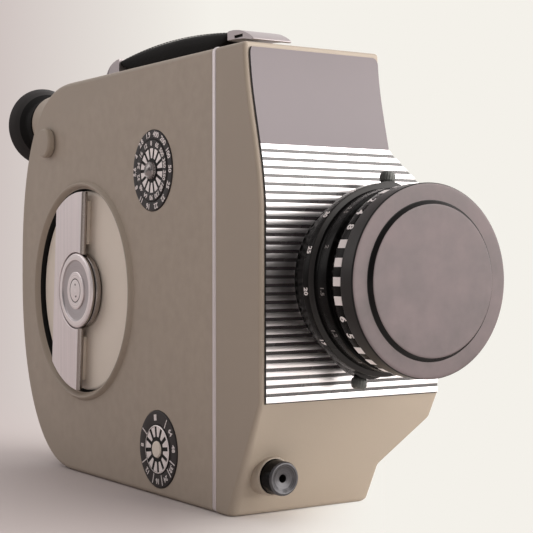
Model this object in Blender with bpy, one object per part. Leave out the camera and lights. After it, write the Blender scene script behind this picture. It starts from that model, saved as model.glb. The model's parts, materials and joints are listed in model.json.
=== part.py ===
"""Spring-driven cine camera with a zoom lens.

The model is an assembly of separate solids: two castings joined at a bright band, a film door,
the winding side with its folding handle, the spring motor and gear train, the film path,
the reflex finder, the zoom lens with its cap, and the carrying strap.

Frame: the lens looks along -Y, +X is the operator's left, +Z is up.
The origin is the middle of the flat base. Driving dimensions are in millimetres.
"""
import math

import bmesh
import bpy
from mathutils import Matrix, Vector

MM = 0.001
GAP = 0.3
AXES = {"X": Vector((1, 0, 0)), "Y": Vector((0, 1, 0)), "Z": Vector((0, 0, 1))}

# Casing
BODY_HEIGHT = 208.0
HALF_WIDTH = 36.5
WALL = 2.6
FRONT = -106.0
FRONT_CASTING_FACE = FRONT + 0.9
JOINT = FRONT + 38.8
JOINT_HALF_GAP = 1.7
FRONT_CASTING_BACK = JOINT - JOINT_HALF_GAP
REAR_CASTING_FRONT = JOINT + JOINT_HALF_GAP
CROWN_START = 82.0
CROWN_DEPTH = 65.6
LOWER_CROWN_POWER = 2.2
UPPER_CROWN_POWER = 2.5
EDGE_RADIUS = 2.4
LEAN_START = 134.0
LEAN_DEPTH = 12.6
CHIN_START = 52.0
CHIN_DEPTH = 24.2
CRISP_RADIUS = 1.2
BULGE_RIGHT = 61.8
RIGHT_EDGE = ((0, 36.6), (1.6, 38.2), (18.5, 38.9), (40.1, 61.0), (55, BULGE_RIGHT),
              (138.5, BULGE_RIGHT), (162.5, HALF_WIDTH), (BODY_HEIGHT, HALF_WIDTH))
FILM_SIDE = 27.0
DOOR_FACE = HALF_WIDTH
DOOR_SKIN = 2.4
DOOR_PANEL_RISE = 1.8
LATCH_Y = -18.0
LATCH_HEIGHTS = (32.0, 176.0)
PLATE_BOTTOM = 51.8
PLATE_THICKNESS = 0.6
TRIM_PROUD = 0.4
OVERCUT = 9.0

# Winding side
WINDING_Y = 67.6
WINDING_Z = 96.7
RECESS_RADIUS = 53.6
RECESS_FLOOR = -31.5
DISC_FACE = -34.0
HUB_RADIUS = 19.7
HUB_FACE = -40.6
HANDLE_FACE = -40.5
HANDLE_THICKNESS = 3.4
HANDLE_FRONT = WINDING_Y - 6.2
HANDLE_WIDTH = 32.5
HANDLE_REACH = 52.4
HANDLE_TILT = math.radians(4.0)
HANDLE_LUG_HEIGHT = 34.0
HANDLE_PIN_RADIUS = 0.8
TRIPOD = (-9.0, -36.0)
EXPOSURE_DIAL = (-10.4, 156.0, 19.5)
SPEED_DIAL = (-15.9, 22.5, 18.5)
DIAL_DEPTH = 1.5
EXPOSURE_DISC_RADIUS = 14.9
SPEED_KNOB_RADIUS = 11.6
DIAL_PIN_RADIUS = 2.3
PLUG = (108.5, 177.0, 8.0)

# Spring motor and gear train
ARBOR_RADIUS = 4.0
BARREL_RADIUS = 40.0
BARREL_BACK = -24.5
BARREL_FRONT = -9.0
BARREL_MODULE = 1.8
BARREL_TEETH = 48
PINION_TEETH = 10
TRAIN_MODULE = 1.25
TRANSPORT_TEETH = 40
SPROCKET_GEAR_TEETH = 24
SPROCKET_TEETH = 8
PLATE_BACK = 2.0
PLATE_FRONT = 4.0
GEAR_THICKNESS = 2.2

SHAFT_RADIUS = 2.5
WHEEL_X = -4.6
RATCHET_X = -28.4
RATCHET_STUD = (WINDING_Y + 17.0, WINDING_Z + 13.4)
TRANSPORT = (WINDING_Y - BARREL_MODULE * (BARREL_TEETH + PINION_TEETH) / 2, WINDING_Z)
SPROCKET_DISTANCE = TRAIN_MODULE * (TRANSPORT_TEETH + SPROCKET_GEAR_TEETH) / 2
SPROCKET_SPREAD = math.radians(36)
UPPER_SPROCKET = (TRANSPORT[0] - SPROCKET_DISTANCE * math.cos(SPROCKET_SPREAD),
                  TRANSPORT[1] + SPROCKET_DISTANCE * math.sin(SPROCKET_SPREAD))
LOWER_SPROCKET = (UPPER_SPROCKET[0], TRANSPORT[1] - SPROCKET_DISTANCE * math.sin(SPROCKET_SPREAD))

# Film path
SPOOL_Y = 88.0
SPOOL_HEIGHTS = (54.0, 154.0)
SPOOL_RADIUS = 46.0
SPOOL_WIDTH = 18.4
SPOOL_BACK = 6.5
GATE_Y = -62.0
SHUTTER_Y = -80.5
SHUTTER_OFFSET = 13.0
SHUTTER_RADIUS = 21.0
SHUTTER_HUB_RADIUS = 5.0

# Lens
LENS_X = 14.4
LENS_Z = 104.6
LENS_BORE = 33.2
CAP_RADIUS = 40.8
CAP_FACE = 52.6
CAP_RIM = 42.3
ROUND_STEPS = 32
SMALL_STEPS = 20
BIG_STEPS = 40
APERTURE_RING = ((36.8, 4.8, 8.0),)
ZOOM_RING = ((38.0, 8.4, 16.6), (41.6, 16.6, 21.5), (39.2, 21.5, 24.6))
FOCUS_RING = ((39.6, 25.0, 31.0), (38.0, 31.0, 36.3), (40.0, 36.3, 41.9))
ZOOM_KNOB_ANGLE = math.radians(9.9)
ZOOM_KNOB_AHEAD = 11.4

# Finder
EYEPIECE_X = -16.5
EYEPIECE_Z = 190.8
EYEPIECE_BOSS_RADIUS = 16.5
EYEPIECE_BOSS_BACK = 106.0
EYEPIECE_FACE = 142.0

# Release button
BUTTON_X = -22.5
BUTTON_Z = 18.7
BUTTON_RADIUS = 7.5

# Carrying strap
STRAP_WIDTH = 21.0
STRAP_FRONT = -36.5
STRAP_REAR = 74.5


def clear_scene():
    for old in list(bpy.data.objects):
        bpy.data.objects.remove(old, do_unlink=True)


def material(name, colour, roughness, metallic=0.0):
    """Return the named Principled material, making it the first time it is asked for."""
    found = bpy.data.materials.get(name)
    if found:
        return found
    made = bpy.data.materials.new(name)
    made.use_nodes = True
    shader = made.node_tree.nodes["Principled BSDF"]
    shader.inputs["Base Color"].default_value = (*colour, 1.0)
    shader.inputs["Roughness"].default_value = roughness
    shader.inputs["Metallic"].default_value = metallic
    return made


def body_paint():
    return material("body_paint", (0.27, 0.22, 0.16), 0.45)


def black_paint():
    return material("black_paint", (0.012, 0.011, 0.011), 0.4)


def polished_metal():
    return material("polished_metal", (0.75, 0.73, 0.72), 0.18, 1.0)


def brushed_metal():
    return material("brushed_metal", (0.55, 0.52, 0.52), 0.35, 1.0)


def steel():
    return material("steel", (0.45, 0.45, 0.46), 0.3, 1.0)


def brass():
    return material("brass", (0.62, 0.43, 0.17), 0.35, 1.0)


def glass():
    return material("glass", (0.7, 0.8, 0.85), 0.05)


def disc_enamel():
    return material("disc_enamel", (0.45, 0.38, 0.31), 0.4)


def rubber():
    return material("rubber", (0.02, 0.018, 0.018), 0.7)


def strap_vinyl():
    return material("strap_vinyl", (0.015, 0.013, 0.012), 0.5)


def finish(name, mesh_data, look, origin=(0, 0, 0), smooth=True):
    """Turn a bmesh in millimetres into a named object whose own origin is at origin."""
    bmesh.ops.recalc_face_normals(mesh_data, faces=mesh_data.faces)
    centre = Vector(origin)
    for vertex in mesh_data.verts:
        vertex.co = (vertex.co - centre) * MM
    mesh = bpy.data.meshes.new(name)
    mesh_data.to_mesh(mesh)
    mesh_data.free()
    if smooth:
        mesh.shade_smooth()
        mesh.set_sharp_from_angle(angle=math.radians(35))
    made = bpy.data.objects.new(name, mesh)
    made.location = centre * MM
    made.data.materials.append(look)
    bpy.context.scene.collection.objects.link(made)
    return made


def combine(target, tool, operation="DIFFERENCE"):
    """Add a Boolean of tool to target, and keep tool out of the finished object."""
    tool.hide_render = True
    tool.display_type = "WIRE"
    modifier = target.modifiers.new(tool.name, "BOOLEAN")
    modifier.operation = operation
    modifier.object = tool
    return target


def axis_frame(axis):
    """Return the two directions that make a right-handed frame with an axis name or vector."""
    along = AXES[axis] if isinstance(axis, str) else Vector(axis).normalized()
    helper = AXES["Z"] if abs(along.z) < 0.9 else AXES["X"]
    across = helper.cross(along).normalized()
    return across, along.cross(across), along


def arc(centre, radius, start, end, steps):
    """Points of an arc in a plane, from angle start to angle end in degrees."""
    points = []
    for i in range(steps + 1):
        angle = math.radians(start + (end - start) * i / steps)
        points.append((centre[0] + radius * math.cos(angle), centre[1] + radius * math.sin(angle)))
    return points


def circle(centre, radius, steps=ROUND_STEPS):
    return arc(centre, radius, 0, 360, steps)[:-1]


def rounded_rectangle(low, high, radius, steps=3):
    corners = ((low[0] + radius, low[1] + radius, 180), (high[0] - radius, low[1] + radius, 270),
               (high[0] - radius, high[1] - radius, 0), (low[0] + radius, high[1] - radius, 90))
    points = []
    for across, up, start in corners:
        points += arc((across, up), radius, start, start + 90, steps)
    return points


def gear_outline(centre, module, teeth, tooth_angle=0.0):
    """Outline of a spur gear with thin straight-sided teeth, one tooth centred on tooth_angle."""
    pitch_radius = module * teeth / 2
    pitch_angle = math.tau / teeth
    points = []
    for tooth in range(teeth):
        middle = tooth_angle + tooth * pitch_angle
        for radius, share in ((pitch_radius - 1.15 * module, -0.30), (pitch_radius + 0.75 * module, -0.11),
                              (pitch_radius + 0.75 * module, 0.11), (pitch_radius - 1.15 * module, 0.30)):
            angle = middle + share * pitch_angle
            points.append((centre[0] + radius * math.cos(angle), centre[1] + radius * math.sin(angle)))
    return points


def extruded(name, loops, axis, start, end, look, origin=(0, 0, 0), smooth=True):
    """Solid between two planes across an axis; the first loop is the outline, the rest are holes."""
    place = {"X": lambda u, v: (start, u, v),
             "Y": lambda u, v: (u, start, v),
             "Z": lambda u, v: (u, v, start)}
    shape = bmesh.new()
    edges = []
    for loop in loops:
        ring = [shape.verts.new(place[axis](u, v)) for u, v in loop]
        for here, there in zip(ring, ring[1:] + ring[:1]):
            edges.append(shape.edges.new((here, there)))
    filled = bmesh.ops.triangle_fill(shape, use_beauty=True, use_dissolve=False, edges=edges)
    faces = [item for item in filled["geom"] if isinstance(item, bmesh.types.BMFace)]
    grown = bmesh.ops.extrude_face_region(shape, geom=faces)
    moved = [item for item in grown["geom"] if isinstance(item, bmesh.types.BMVert)]
    bmesh.ops.translate(shape, verts=moved, vec=AXES[axis] * (end - start))
    return finish(name, shape, look, origin, smooth)


def turned(name, profile, axis, centre, look, steps=ROUND_STEPS, origin=None):
    """Solid of revolution from a profile of (radius, distance along the axis) points.

    A profile that starts and ends on the axis is open; any other profile is closed into a ring.
    """
    across, _, along = axis_frame(axis)
    base = Vector(centre)
    shape = bmesh.new()
    points = [shape.verts.new(base + across * radius + along * distance) for radius, distance in profile]
    pairs = list(zip(points, points[1:]))
    if profile[0][0] > 0:
        pairs.append((points[-1], points[0]))
    edges = [shape.edges.new(pair) for pair in pairs]
    bmesh.ops.spin(shape, geom=points + edges, cent=base, axis=along, angle=math.tau, steps=steps,
                   use_merge=True, use_normal_flip=False, use_duplicate=False)
    bmesh.ops.remove_doubles(shape, verts=shape.verts, dist=0.001)
    return finish(name, shape, look, base if origin is None else origin)


def bar(name, radius, start, end, axis, centre, look, steps=SMALL_STEPS, origin=None):
    """Plain round bar between two distances along an axis."""
    profile = [(0, start), (radius, start), (radius, end), (0, end)]
    return turned(name, profile, axis, centre, look, steps, origin)


def lofted(name, loops, look, origin=(0, 0, 0), smooth=True):
    """Closed skin through loops of equally many points, with a flat cap on each end."""
    shape = bmesh.new()
    rings = [[shape.verts.new(point) for point in loop] for loop in loops]
    for lower, upper in zip(rings, rings[1:]):
        count = len(lower)
        for i in range(count):
            following = (i + 1) % count
            shape.faces.new((lower[i], lower[following], upper[following], upper[i]))
    shape.faces.new(rings[0])
    shape.faces.new(rings[-1])
    return finish(name, shape, look, origin, smooth)


def box(name, low, high, look, origin=(0, 0, 0)):
    shape = bmesh.new()
    size = Vector(high) - Vector(low)
    place = Matrix.Translation((Vector(low) + Vector(high)) / 2) @ Matrix.Diagonal((*size, 1.0))
    bmesh.ops.create_cube(shape, size=1.0, matrix=place)
    return finish(name, shape, look, origin, smooth=False)


def drill(target, radius, start, end, axis, centre, steps=SMALL_STEPS):
    """Cut a round hole through target."""
    number = len(target.modifiers)
    tool = bar(f"{target.name}_drill_{number}", radius, start, end, axis, centre, steel(), steps)
    return combine(target, tool)


# Casing

def interpolate(table, at):
    """Straight-line value of a table of (position, value) pairs."""
    for (low, first), (high, second) in zip(table, table[1:]):
        if at <= high:
            return first + (second - first) * (at - low) / (high - low)
    return table[-1][1]


def rear_outline(inset=0.0, front=REAR_CASTING_FRONT, steps=9):
    """Side outline of the rear casting in (y, z): straight base and top, crowned rear."""
    middle = BODY_HEIGHT / 2
    depth = CROWN_DEPTH - inset
    half = middle - inset
    points = [(front, inset)]
    for power, start in ((LOWER_CROWN_POWER, -90), (UPPER_CROWN_POWER, 0)):
        for i in range(steps + (start == 0)):
            angle = math.radians(start + 90 * i / steps)
            back = depth * max(math.cos(angle), 0.0) ** (2 / power)
            rise = half * abs(math.sin(angle)) ** (2 / power)
            points.append((CROWN_START + back, middle + math.copysign(rise, angle)))
    points.append((front, BODY_HEIGHT - inset))
    return points


def rear_loop(x, inset=0.0, front=REAR_CASTING_FRONT):
    return [(x, y, z) for y, z in rear_outline(inset, front)]


def front_depth(z):
    """How far the front face stands back from its vertical part: it leans above, and the chin cuts in."""
    if z < CHIN_START:
        return CHIN_DEPTH * (1 - z / CHIN_START)
    share = max(z - LEAN_START, 0.0) / (BODY_HEIGHT - LEAN_START)
    return LEAN_DEPTH * share * share * (3 - 2 * share)


def front_loop(z, inset, back):
    """Level section of the front casting, with its side bulge drawn in again before the joint."""
    left = -HALF_WIDTH + inset
    right = interpolate(RIGHT_EDGE, z) - inset
    front = FRONT_CASTING_FACE + front_depth(z) + inset
    softness = 2.0 + 8.0 * max(1 - z / CHIN_START, 0.0)
    radius = max(softness - inset, 0.5)
    crisp = max(CRISP_RADIUS - inset, 0.5)
    shoulder = max(right + inset - HALF_WIDTH, 0.6)
    points = [(left, back)]
    points += arc((left + radius, front + radius), radius, 180, 270, 3)
    points += arc((right - crisp, front + crisp), crisp, 270, 360, 3)
    points += arc((right - shoulder, FRONT_CASTING_BACK - inset - GAP - shoulder), shoulder, 0, 90, 4)
    points.append((right - shoulder, back))
    return [(x, y, z) for x, y in points]


def front_levels():
    """Heights at which the front casting changes direction."""
    lean_steps = [LEAN_START + (BODY_HEIGHT - LEAN_START) * share for share in (0.2, 0.54, 0.72, 0.86)]
    return sorted([7, 18.5, 30, 40.1, CHIN_START, 55, LEAN_START, 138.5, 162.5] + lean_steps)


def main_housing():
    """Rear casting: winding side, top, base and crowned rear, open towards the door and the front."""
    side = -HALF_WIDTH
    bevel = 0.3 * EDGE_RADIUS
    loops = [rear_loop(side, EDGE_RADIUS), rear_loop(side + bevel, bevel), rear_loop(side + EDGE_RADIUS),
             rear_loop(FILM_SIDE)]
    shell = lofted("main_housing", loops, body_paint())
    loops = [rear_loop(x, WALL, REAR_CASTING_FRONT - OVERCUT) for x in (side + WALL, FILM_SIDE + OVERCUT)]
    combine(shell, lofted("housing_hollow", loops, steel()))
    boss = EYEPIECE_BOSS_RADIUS
    profile = [(0, EYEPIECE_BOSS_BACK), (boss, EYEPIECE_BOSS_BACK), (boss, EYEPIECE_FACE - 2),
               (boss - 0.6, EYEPIECE_FACE - 0.6), (boss - 2, EYEPIECE_FACE), (0, EYEPIECE_FACE)]
    combine(shell, turned("eyepiece_boss", profile, "Y", (EYEPIECE_X, 0, EYEPIECE_Z), steel()), "UNION")
    drill(shell, 13.0, 90, 160, "Y", (EYEPIECE_X, 0, EYEPIECE_Z))
    drill(shell, RECESS_RADIUS + 1.2, -50, -33, "X", (0, WINDING_Y, WINDING_Z), BIG_STEPS)
    rim = RECESS_RADIUS
    bore = ARBOR_RADIUS + 2 * GAP
    profile = [(bore, RECESS_FLOOR), (rim, RECESS_FLOOR), (rim, side - 0.5), (rim + 1.2, side - 0.9),
               (rim + 2.6, side - 0.8), (rim + 4.6, side + 0.2), (rim + 4.6, RECESS_FLOOR + 2.4),
               (bore, RECESS_FLOOR + 2.4)]
    recess = turned("winding_recess", profile, "X", (0, WINDING_Y, WINDING_Z), steel(), BIG_STEPS)
    combine(shell, recess, "UNION")
    for y, z, radius in (EXPOSURE_DIAL, SPEED_DIAL):
        drill(shell, radius + GAP, -50, side + DIAL_DEPTH, "X", (0, y, z), ROUND_STEPS)
        drill(shell, DIAL_PIN_RADIUS + GAP, -50, -20, "X", (0, y, z), 12)
    drill(shell, 8.3, -5, 8, "Z", (*TRIPOD, 0))
    for low, high in ((-54, -40), (77, 84.5)):
        pad = box(f"strap_pad_{low}", (-8, low, BODY_HEIGHT - 1.5), (8, high, BODY_HEIGHT + 6.4), steel())
        combine(shell, pad, "UNION")
    return shell


def front_housing():
    """Front casting: leaning face, chin, side bulge and the collar of the release button."""
    edge = EDGE_RADIUS * 0.6
    levels = [(0, edge), (0.3 * edge, 0.3 * edge), (edge, 0)]
    levels += [(z, 0) for z in front_levels()]
    levels += [(BODY_HEIGHT - edge, 0), (BODY_HEIGHT - 0.3 * edge, 0.3 * edge), (BODY_HEIGHT, edge)]
    loops = [front_loop(z, inset, FRONT_CASTING_BACK) for z, inset in levels]
    shell = lofted("front_housing", loops, body_paint())
    inner = [WALL] + front_levels() + [BODY_HEIGHT - WALL]
    loops = [front_loop(z, WALL, FRONT_CASTING_BACK + OVERCUT) for z in inner]
    combine(shell, lofted("front_hollow", loops, steel()))
    drill(shell, LENS_BORE + 0.8, -120, -95, "Y", (LENS_X, 0, LENS_Z), ROUND_STEPS)
    button = (BUTTON_X, 0, BUTTON_Z)
    collar = bar("button_collar", BUTTON_RADIUS + 2.2, FRONT + 11, FRONT + 28, "Y", button, steel(), 24)
    combine(shell, collar, "UNION")
    drill(shell, BUTTON_RADIUS + GAP, -110, -70, "Y", button, 24)
    return shell


def trim_band():
    """Bright band that covers the joint of the two castings."""
    side = HALF_WIDTH + TRIM_PROUD
    outer = rounded_rectangle((-side, 0.2), (side, BODY_HEIGHT + TRIM_PROUD), 2.6)
    inner = rounded_rectangle((-side + 3.4, 3.6), (side - 3.4, BODY_HEIGHT - 3.0), 1.2)
    depth = JOINT_HALF_GAP - GAP
    return extruded("trim_band", [outer, inner], "Y", JOINT - depth, JOINT + depth, polished_metal())


def film_door():
    """Lift-off door of the film side: a shallow pan with a raised panel."""
    steps = ((FILM_SIDE + GAP, 0), (DOOR_FACE - 5, 0), (DOOR_FACE - 1.4, 1.4), (DOOR_FACE, 5),
             (DOOR_FACE, 15), (DOOR_FACE + DOOR_PANEL_RISE, 17))
    loops = [rear_loop(x, inset, REAR_CASTING_FRONT + inset) for x, inset in steps]
    pan = lofted("film_door", loops, body_paint(), origin=(DOOR_FACE, 20, BODY_HEIGHT / 2))
    loops = [rear_loop(x, 3.0, REAR_CASTING_FRONT + 3) for x in (FILM_SIDE - OVERCUT, DOOR_FACE - DOOR_SKIN)]
    combine(pan, lofted("door_hollow", loops, steel()))
    for z in LATCH_HEIGHTS:
        drill(pan, 2.9, 20, 50, "X", (0, LATCH_Y, z), 16)
    return pan


def door_latch(name, z):
    """Turn knob with a grip bar and the spindle of its hook inside the door."""
    inside = DOOR_FACE - DOOR_SKIN
    panel = DOOR_FACE + DOOR_PANEL_RISE
    knob = turned(name, [(0, inside - 3.4), (2.4, inside - 3.4), (2.4, panel + GAP), (8, panel + GAP),
                  (8, panel + 2.2), (7.2, panel + 2.8), (0, panel + 2.8)], "X", (0, LATCH_Y, z),
                  brushed_metal(), SMALL_STEPS)
    low = (panel + 1, LATCH_Y - 6.6, z - 1.6)
    grip = box(f"{name}_grip", low, (panel + 5.6, LATCH_Y + 6.6, z + 1.6), steel())
    combine(knob, grip, "UNION")
    return knob


def front_plate():
    """Thin bright plate on the front face; it follows the lean and the bulge and is cut for the lens."""
    inset = 1.2
    heights = [PLATE_BOTTOM] + [z for z in front_levels() if z > PLATE_BOTTOM + 1] + [BODY_HEIGHT - 2.4]
    loops = []
    for z in heights:
        left = -HALF_WIDTH + 2.0
        right = interpolate(RIGHT_EDGE, z) - inset
        front = FRONT + front_depth(z)
        loops.append([(left, front, z), (right, front, z), (right, front + PLATE_THICKNESS, z),
                      (left, front + PLATE_THICKNESS, z)])
    plate = lofted("front_plate", loops, polished_metal(), smooth=False)
    return drill(plate, LENS_BORE + 0.8, -120, -95, "Y", (LENS_X, 0, LENS_Z), ROUND_STEPS)


def tripod_bush():
    """Insert in the base for a tripod screw; its thread is a plain blind bore."""
    profile = [(0, 12), (8, 12), (8, GAP), (4.6, GAP), (4.6, 9), (0, 9)]
    return turned("tripod_bush", profile, "Z", (*TRIPOD, 0), steel(), 24)


# Winding side: the disc, hub, handle and arbor turn together

def winding_point(along, across):
    """Point of the winding side in (y, z), along the handle's length and across it from the axis."""
    up = math.cos(HANDLE_TILT) * along + math.sin(HANDLE_TILT) * across
    back = math.cos(HANDLE_TILT) * across - math.sin(HANDLE_TILT) * along
    return WINDING_Y + back, WINDING_Z + up


def handle_direction():
    """Direction of the handle's pivot line."""
    return 0.0, -math.sin(HANDLE_TILT), math.cos(HANDLE_TILT)


def handle_pivot():
    """Point of the pivot line, half a thickness inside the handle's front edge."""
    y, z = winding_point(0, HANDLE_FRONT - WINDING_Y + HANDLE_THICKNESS / 2)
    return HANDLE_FACE + HANDLE_THICKNESS / 2, y, z


def winding_disc():
    """Enamelled disc in the recess, with two lugs that carry the handle's pins."""
    centre = (0, WINDING_Y, WINDING_Z)
    rim = RECESS_RADIUS - 0.9
    bore = ARBOR_RADIUS + 0.3
    profile = [(bore, DISC_FACE), (rim - 0.6, DISC_FACE), (rim, DISC_FACE + 0.6), (rim, RECESS_FLOOR - GAP),
               (bore, RECESS_FLOOR - GAP)]
    disc = turned("winding_disc", profile, "X", centre, disc_enamel(), BIG_STEPS)
    pivot_x = HANDLE_FACE + HANDLE_THICKNESS / 2
    pivot_across = HANDLE_FRONT - WINDING_Y + HANDLE_THICKNESS / 2
    for number, sign in enumerate((-1, 1)):
        middle = sign * HANDLE_LUG_HEIGHT
        outline = [winding_point(middle + u, pivot_across + v)
                   for u, v in ((-3, -1.4), (3, -1.4), (3, 1.4), (-3, 1.4))]
        lug = extruded(f"handle_lug_{number}", [outline], "X", pivot_x - 1.4, DISC_FACE + 0.8, steel())
        combine(disc, lug, "UNION")
        drill(disc, HANDLE_PIN_RADIUS + 0.06, middle - 8, middle + 8, handle_direction(), handle_pivot(), 12)
    return disc


def winding_hub():
    """Raised turned boss that holds the disc on the arbor."""
    back = DISC_FACE - GAP
    profile = [(ARBOR_RADIUS + 0.3, back), (HUB_RADIUS - 2, back), (HUB_RADIUS, HUB_FACE + 3.4),
               (HUB_RADIUS, HUB_FACE + 0.8), (HUB_RADIUS - 0.8, HUB_FACE), (HUB_RADIUS - 3.4, HUB_FACE),
               (HUB_RADIUS - 4, HUB_FACE + 0.7), (ARBOR_RADIUS + 0.3, HUB_FACE + 0.7)]
    return turned("winding_hub", profile, "X", (0, WINDING_Y, WINDING_Z), brushed_metal())


def winding_handle():
    """Flat wing beside the hub; it folds out on its front edge and turns the motor's arbor."""
    front = HANDLE_FRONT - WINDING_Y
    back = front + HANDLE_WIDTH
    top = math.degrees(math.acos(front / HANDLE_REACH))
    bottom = math.degrees(math.acos(back / HANDLE_REACH))
    clear = HUB_RADIUS + 1.3
    reach = math.degrees(math.acos(front / clear))
    outline = arc((0, 0), HANDLE_REACH, -top, -bottom, 6) + arc((0, 0), HANDLE_REACH, bottom, top, 6)
    for sign, waist in ((1, arc((0, 0), clear, reach, -reach, 18)), (-1, [])):
        middle = sign * HANDLE_LUG_HEIGHT
        depth = front + HANDLE_THICKNESS / 2 + 2.1
        high, low = middle + 3.4, middle - 3.4
        outline += [(front, high), (depth, high), (depth, low), (front, low)]
        outline += waist
    placed = [winding_point(along, across) for across, along in outline]
    wing = extruded("winding_handle", [placed], "X", HANDLE_FACE, HANDLE_FACE + HANDLE_THICKNESS,
                    brushed_metal(), origin=handle_pivot(), smooth=False)
    for sign in (-1, 1):
        middle = sign * HANDLE_LUG_HEIGHT
        drill(wing, HANDLE_PIN_RADIUS + 0.08, middle - 7.4, middle + 7.4, handle_direction(), handle_pivot(),
              steps=12)
    return wing


def handle_pin(name, sign):
    middle = sign * HANDLE_LUG_HEIGHT
    return bar(name, HANDLE_PIN_RADIUS, middle - 7, middle + 7, handle_direction(), handle_pivot(), steel(),
               steps=12)


def winding_arbor():
    """Shaft from the hub through the spring to the mechanism plate."""
    return bar("winding_arbor", ARBOR_RADIUS, HUB_FACE + 1, PLATE_BACK - GAP, "X", (0, WINDING_Y, WINDING_Z),
               steel(), 24)


# Spring motor

def mainspring_barrel():
    """Cup that holds the mainspring; it turns as the spring runs down."""
    inner = BARREL_RADIUS - 1.6
    bore = ARBOR_RADIUS + GAP
    profile = [(bore, BARREL_BACK), (BARREL_RADIUS, BARREL_BACK), (BARREL_RADIUS, BARREL_FRONT),
               (inner, BARREL_FRONT), (inner, BARREL_BACK + 1.6), (bore, BARREL_BACK + 1.6)]
    return turned("mainspring_barrel", profile, "X", (0, WINDING_Y, WINDING_Z), brass())


def mainspring(turns=4, steps=14):
    """Flat steel ribbon wound from the arbor out to the barrel wall."""
    inner = ARBOR_RADIUS + 1.5
    outer = BARREL_RADIUS - 3.4
    low = BARREL_BACK + 2.2
    high = BARREL_FRONT - 0.6
    loops = []
    for i in range(turns * steps + 1):
        share = i / (turns * steps)
        angle = share * turns * math.tau
        radius = inner + (outer - inner) * share
        loop = []
        for reach, x in ((radius, low), (radius + 0.8, low), (radius + 0.8, high), (radius, high)):
            loop.append((x, WINDING_Y + reach * math.cos(angle), WINDING_Z + reach * math.sin(angle)))
        loops.append(loop)
    return lofted("mainspring", loops, steel())


def gear(name, centre, module, teeth, start, end, bore, look, tooth_angle=0.0):
    """Spur gear with a round bore, standing on a shaft along X."""
    loops = [gear_outline(centre, module, teeth, tooth_angle), circle(centre, bore, 12)]
    return extruded(name, loops, "X", start, end, look, origin=(0, *centre), smooth=False)


def barrel_gear():
    """Toothed lid of the barrel, which drives the train."""
    return gear("barrel_gear", (WINDING_Y, WINDING_Z), BARREL_MODULE, BARREL_TEETH, BARREL_FRONT + GAP,
                BARREL_FRONT + GAP + GEAR_THICKNESS, ARBOR_RADIUS + GAP, brass())


def ratchet_wheel(teeth=16):
    """Saw-toothed wheel on the arbor that keeps the spring wound."""
    outline = []
    for i in range(teeth):
        angle = math.tau * i / teeth
        for radius, lag in ((14.0, 0.0), (11.6, 0.03)):
            across = radius * math.cos(angle + lag)
            up = radius * math.sin(angle + lag)
            outline.append((WINDING_Y + across, WINDING_Z + up))
    bore = circle((WINDING_Y, WINDING_Z), ARBOR_RADIUS + GAP, 16)
    return extruded("ratchet_wheel", [outline, bore], "X", RATCHET_X, RATCHET_X + 2, steel(), smooth=False)


def ratchet_pawl():
    """Click that rides on the ratchet wheel and pivots on a stud of the casing."""
    y, z = RATCHET_STUD
    outline = [(y - 2.5, z - 2.5), (y + 2.5, z - 2.5), (y + 2.5, z + 2), (y - 10.5, z + 2.2),
               (y - 11.5, z + 0.4), (y - 6, z - 0.8)]
    loops = [outline, circle((y, z), 1.2, 12)]
    return extruded("ratchet_pawl", loops, "X", RATCHET_X, RATCHET_X + 2, steel(),
                    origin=(RATCHET_X, y, z), smooth=False)


def mechanism_plate():
    """Upright plate between the motor and the film chamber; it carries the shafts."""
    front = REAR_CASTING_FRONT + 1
    outline = rear_outline(WALL + 0.6, front)
    holes = [circle((WINDING_Y, WINDING_Z), ARBOR_RADIUS + 1, 20)]
    holes += [circle(place, SHAFT_RADIUS + GAP, 16) for place in (TRANSPORT, UPPER_SPROCKET, LOWER_SPROCKET)]
    holes += [circle((SPOOL_Y, z), SHAFT_RADIUS + GAP, 16) for z in SPOOL_HEIGHTS]
    return extruded("mechanism_plate", [outline] + holes, "X", PLATE_BACK, PLATE_FRONT, brushed_metal())


def drive_pinion():
    """Shaft with the pinion that the barrel drives."""
    x = BARREL_FRONT - 0.6
    shaft = bar("drive_pinion", SHAFT_RADIUS, x - 1.4, PLATE_FRONT + 1, "X", (0, *TRANSPORT), steel(), 16)
    outline = gear_outline(TRANSPORT, BARREL_MODULE, PINION_TEETH, math.pi / PINION_TEETH)
    teeth = extruded("pinion_teeth", [outline], "X", x, x + 3.4, steel(), smooth=False)
    return combine(shaft, teeth, "UNION")


def transport_wheel():
    """Wheel on the pinion's shaft; it drives both sprockets."""
    return gear("transport_wheel", TRANSPORT, TRAIN_MODULE, TRANSPORT_TEETH, WHEEL_X,
                WHEEL_X + GEAR_THICKNESS, SHAFT_RADIUS + GAP, brass())


def sprocket_gear(name, centre):
    """Gear of a sprocket, turned so that a gap faces the transport wheel's tooth."""
    toward = math.atan2(TRANSPORT[1] - centre[1], TRANSPORT[0] - centre[0])
    wheel_pitch = math.tau / TRANSPORT_TEETH
    phase = (toward + math.pi) / wheel_pitch
    offset = (phase - round(phase)) * TRANSPORT_TEETH / SPROCKET_GEAR_TEETH
    angle = toward + (0.5 + offset) * math.tau / SPROCKET_GEAR_TEETH
    return gear(name, centre, TRAIN_MODULE, SPROCKET_GEAR_TEETH, WHEEL_X, WHEEL_X + GEAR_THICKNESS,
                SHAFT_RADIUS + GAP, brass(), angle)


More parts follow.
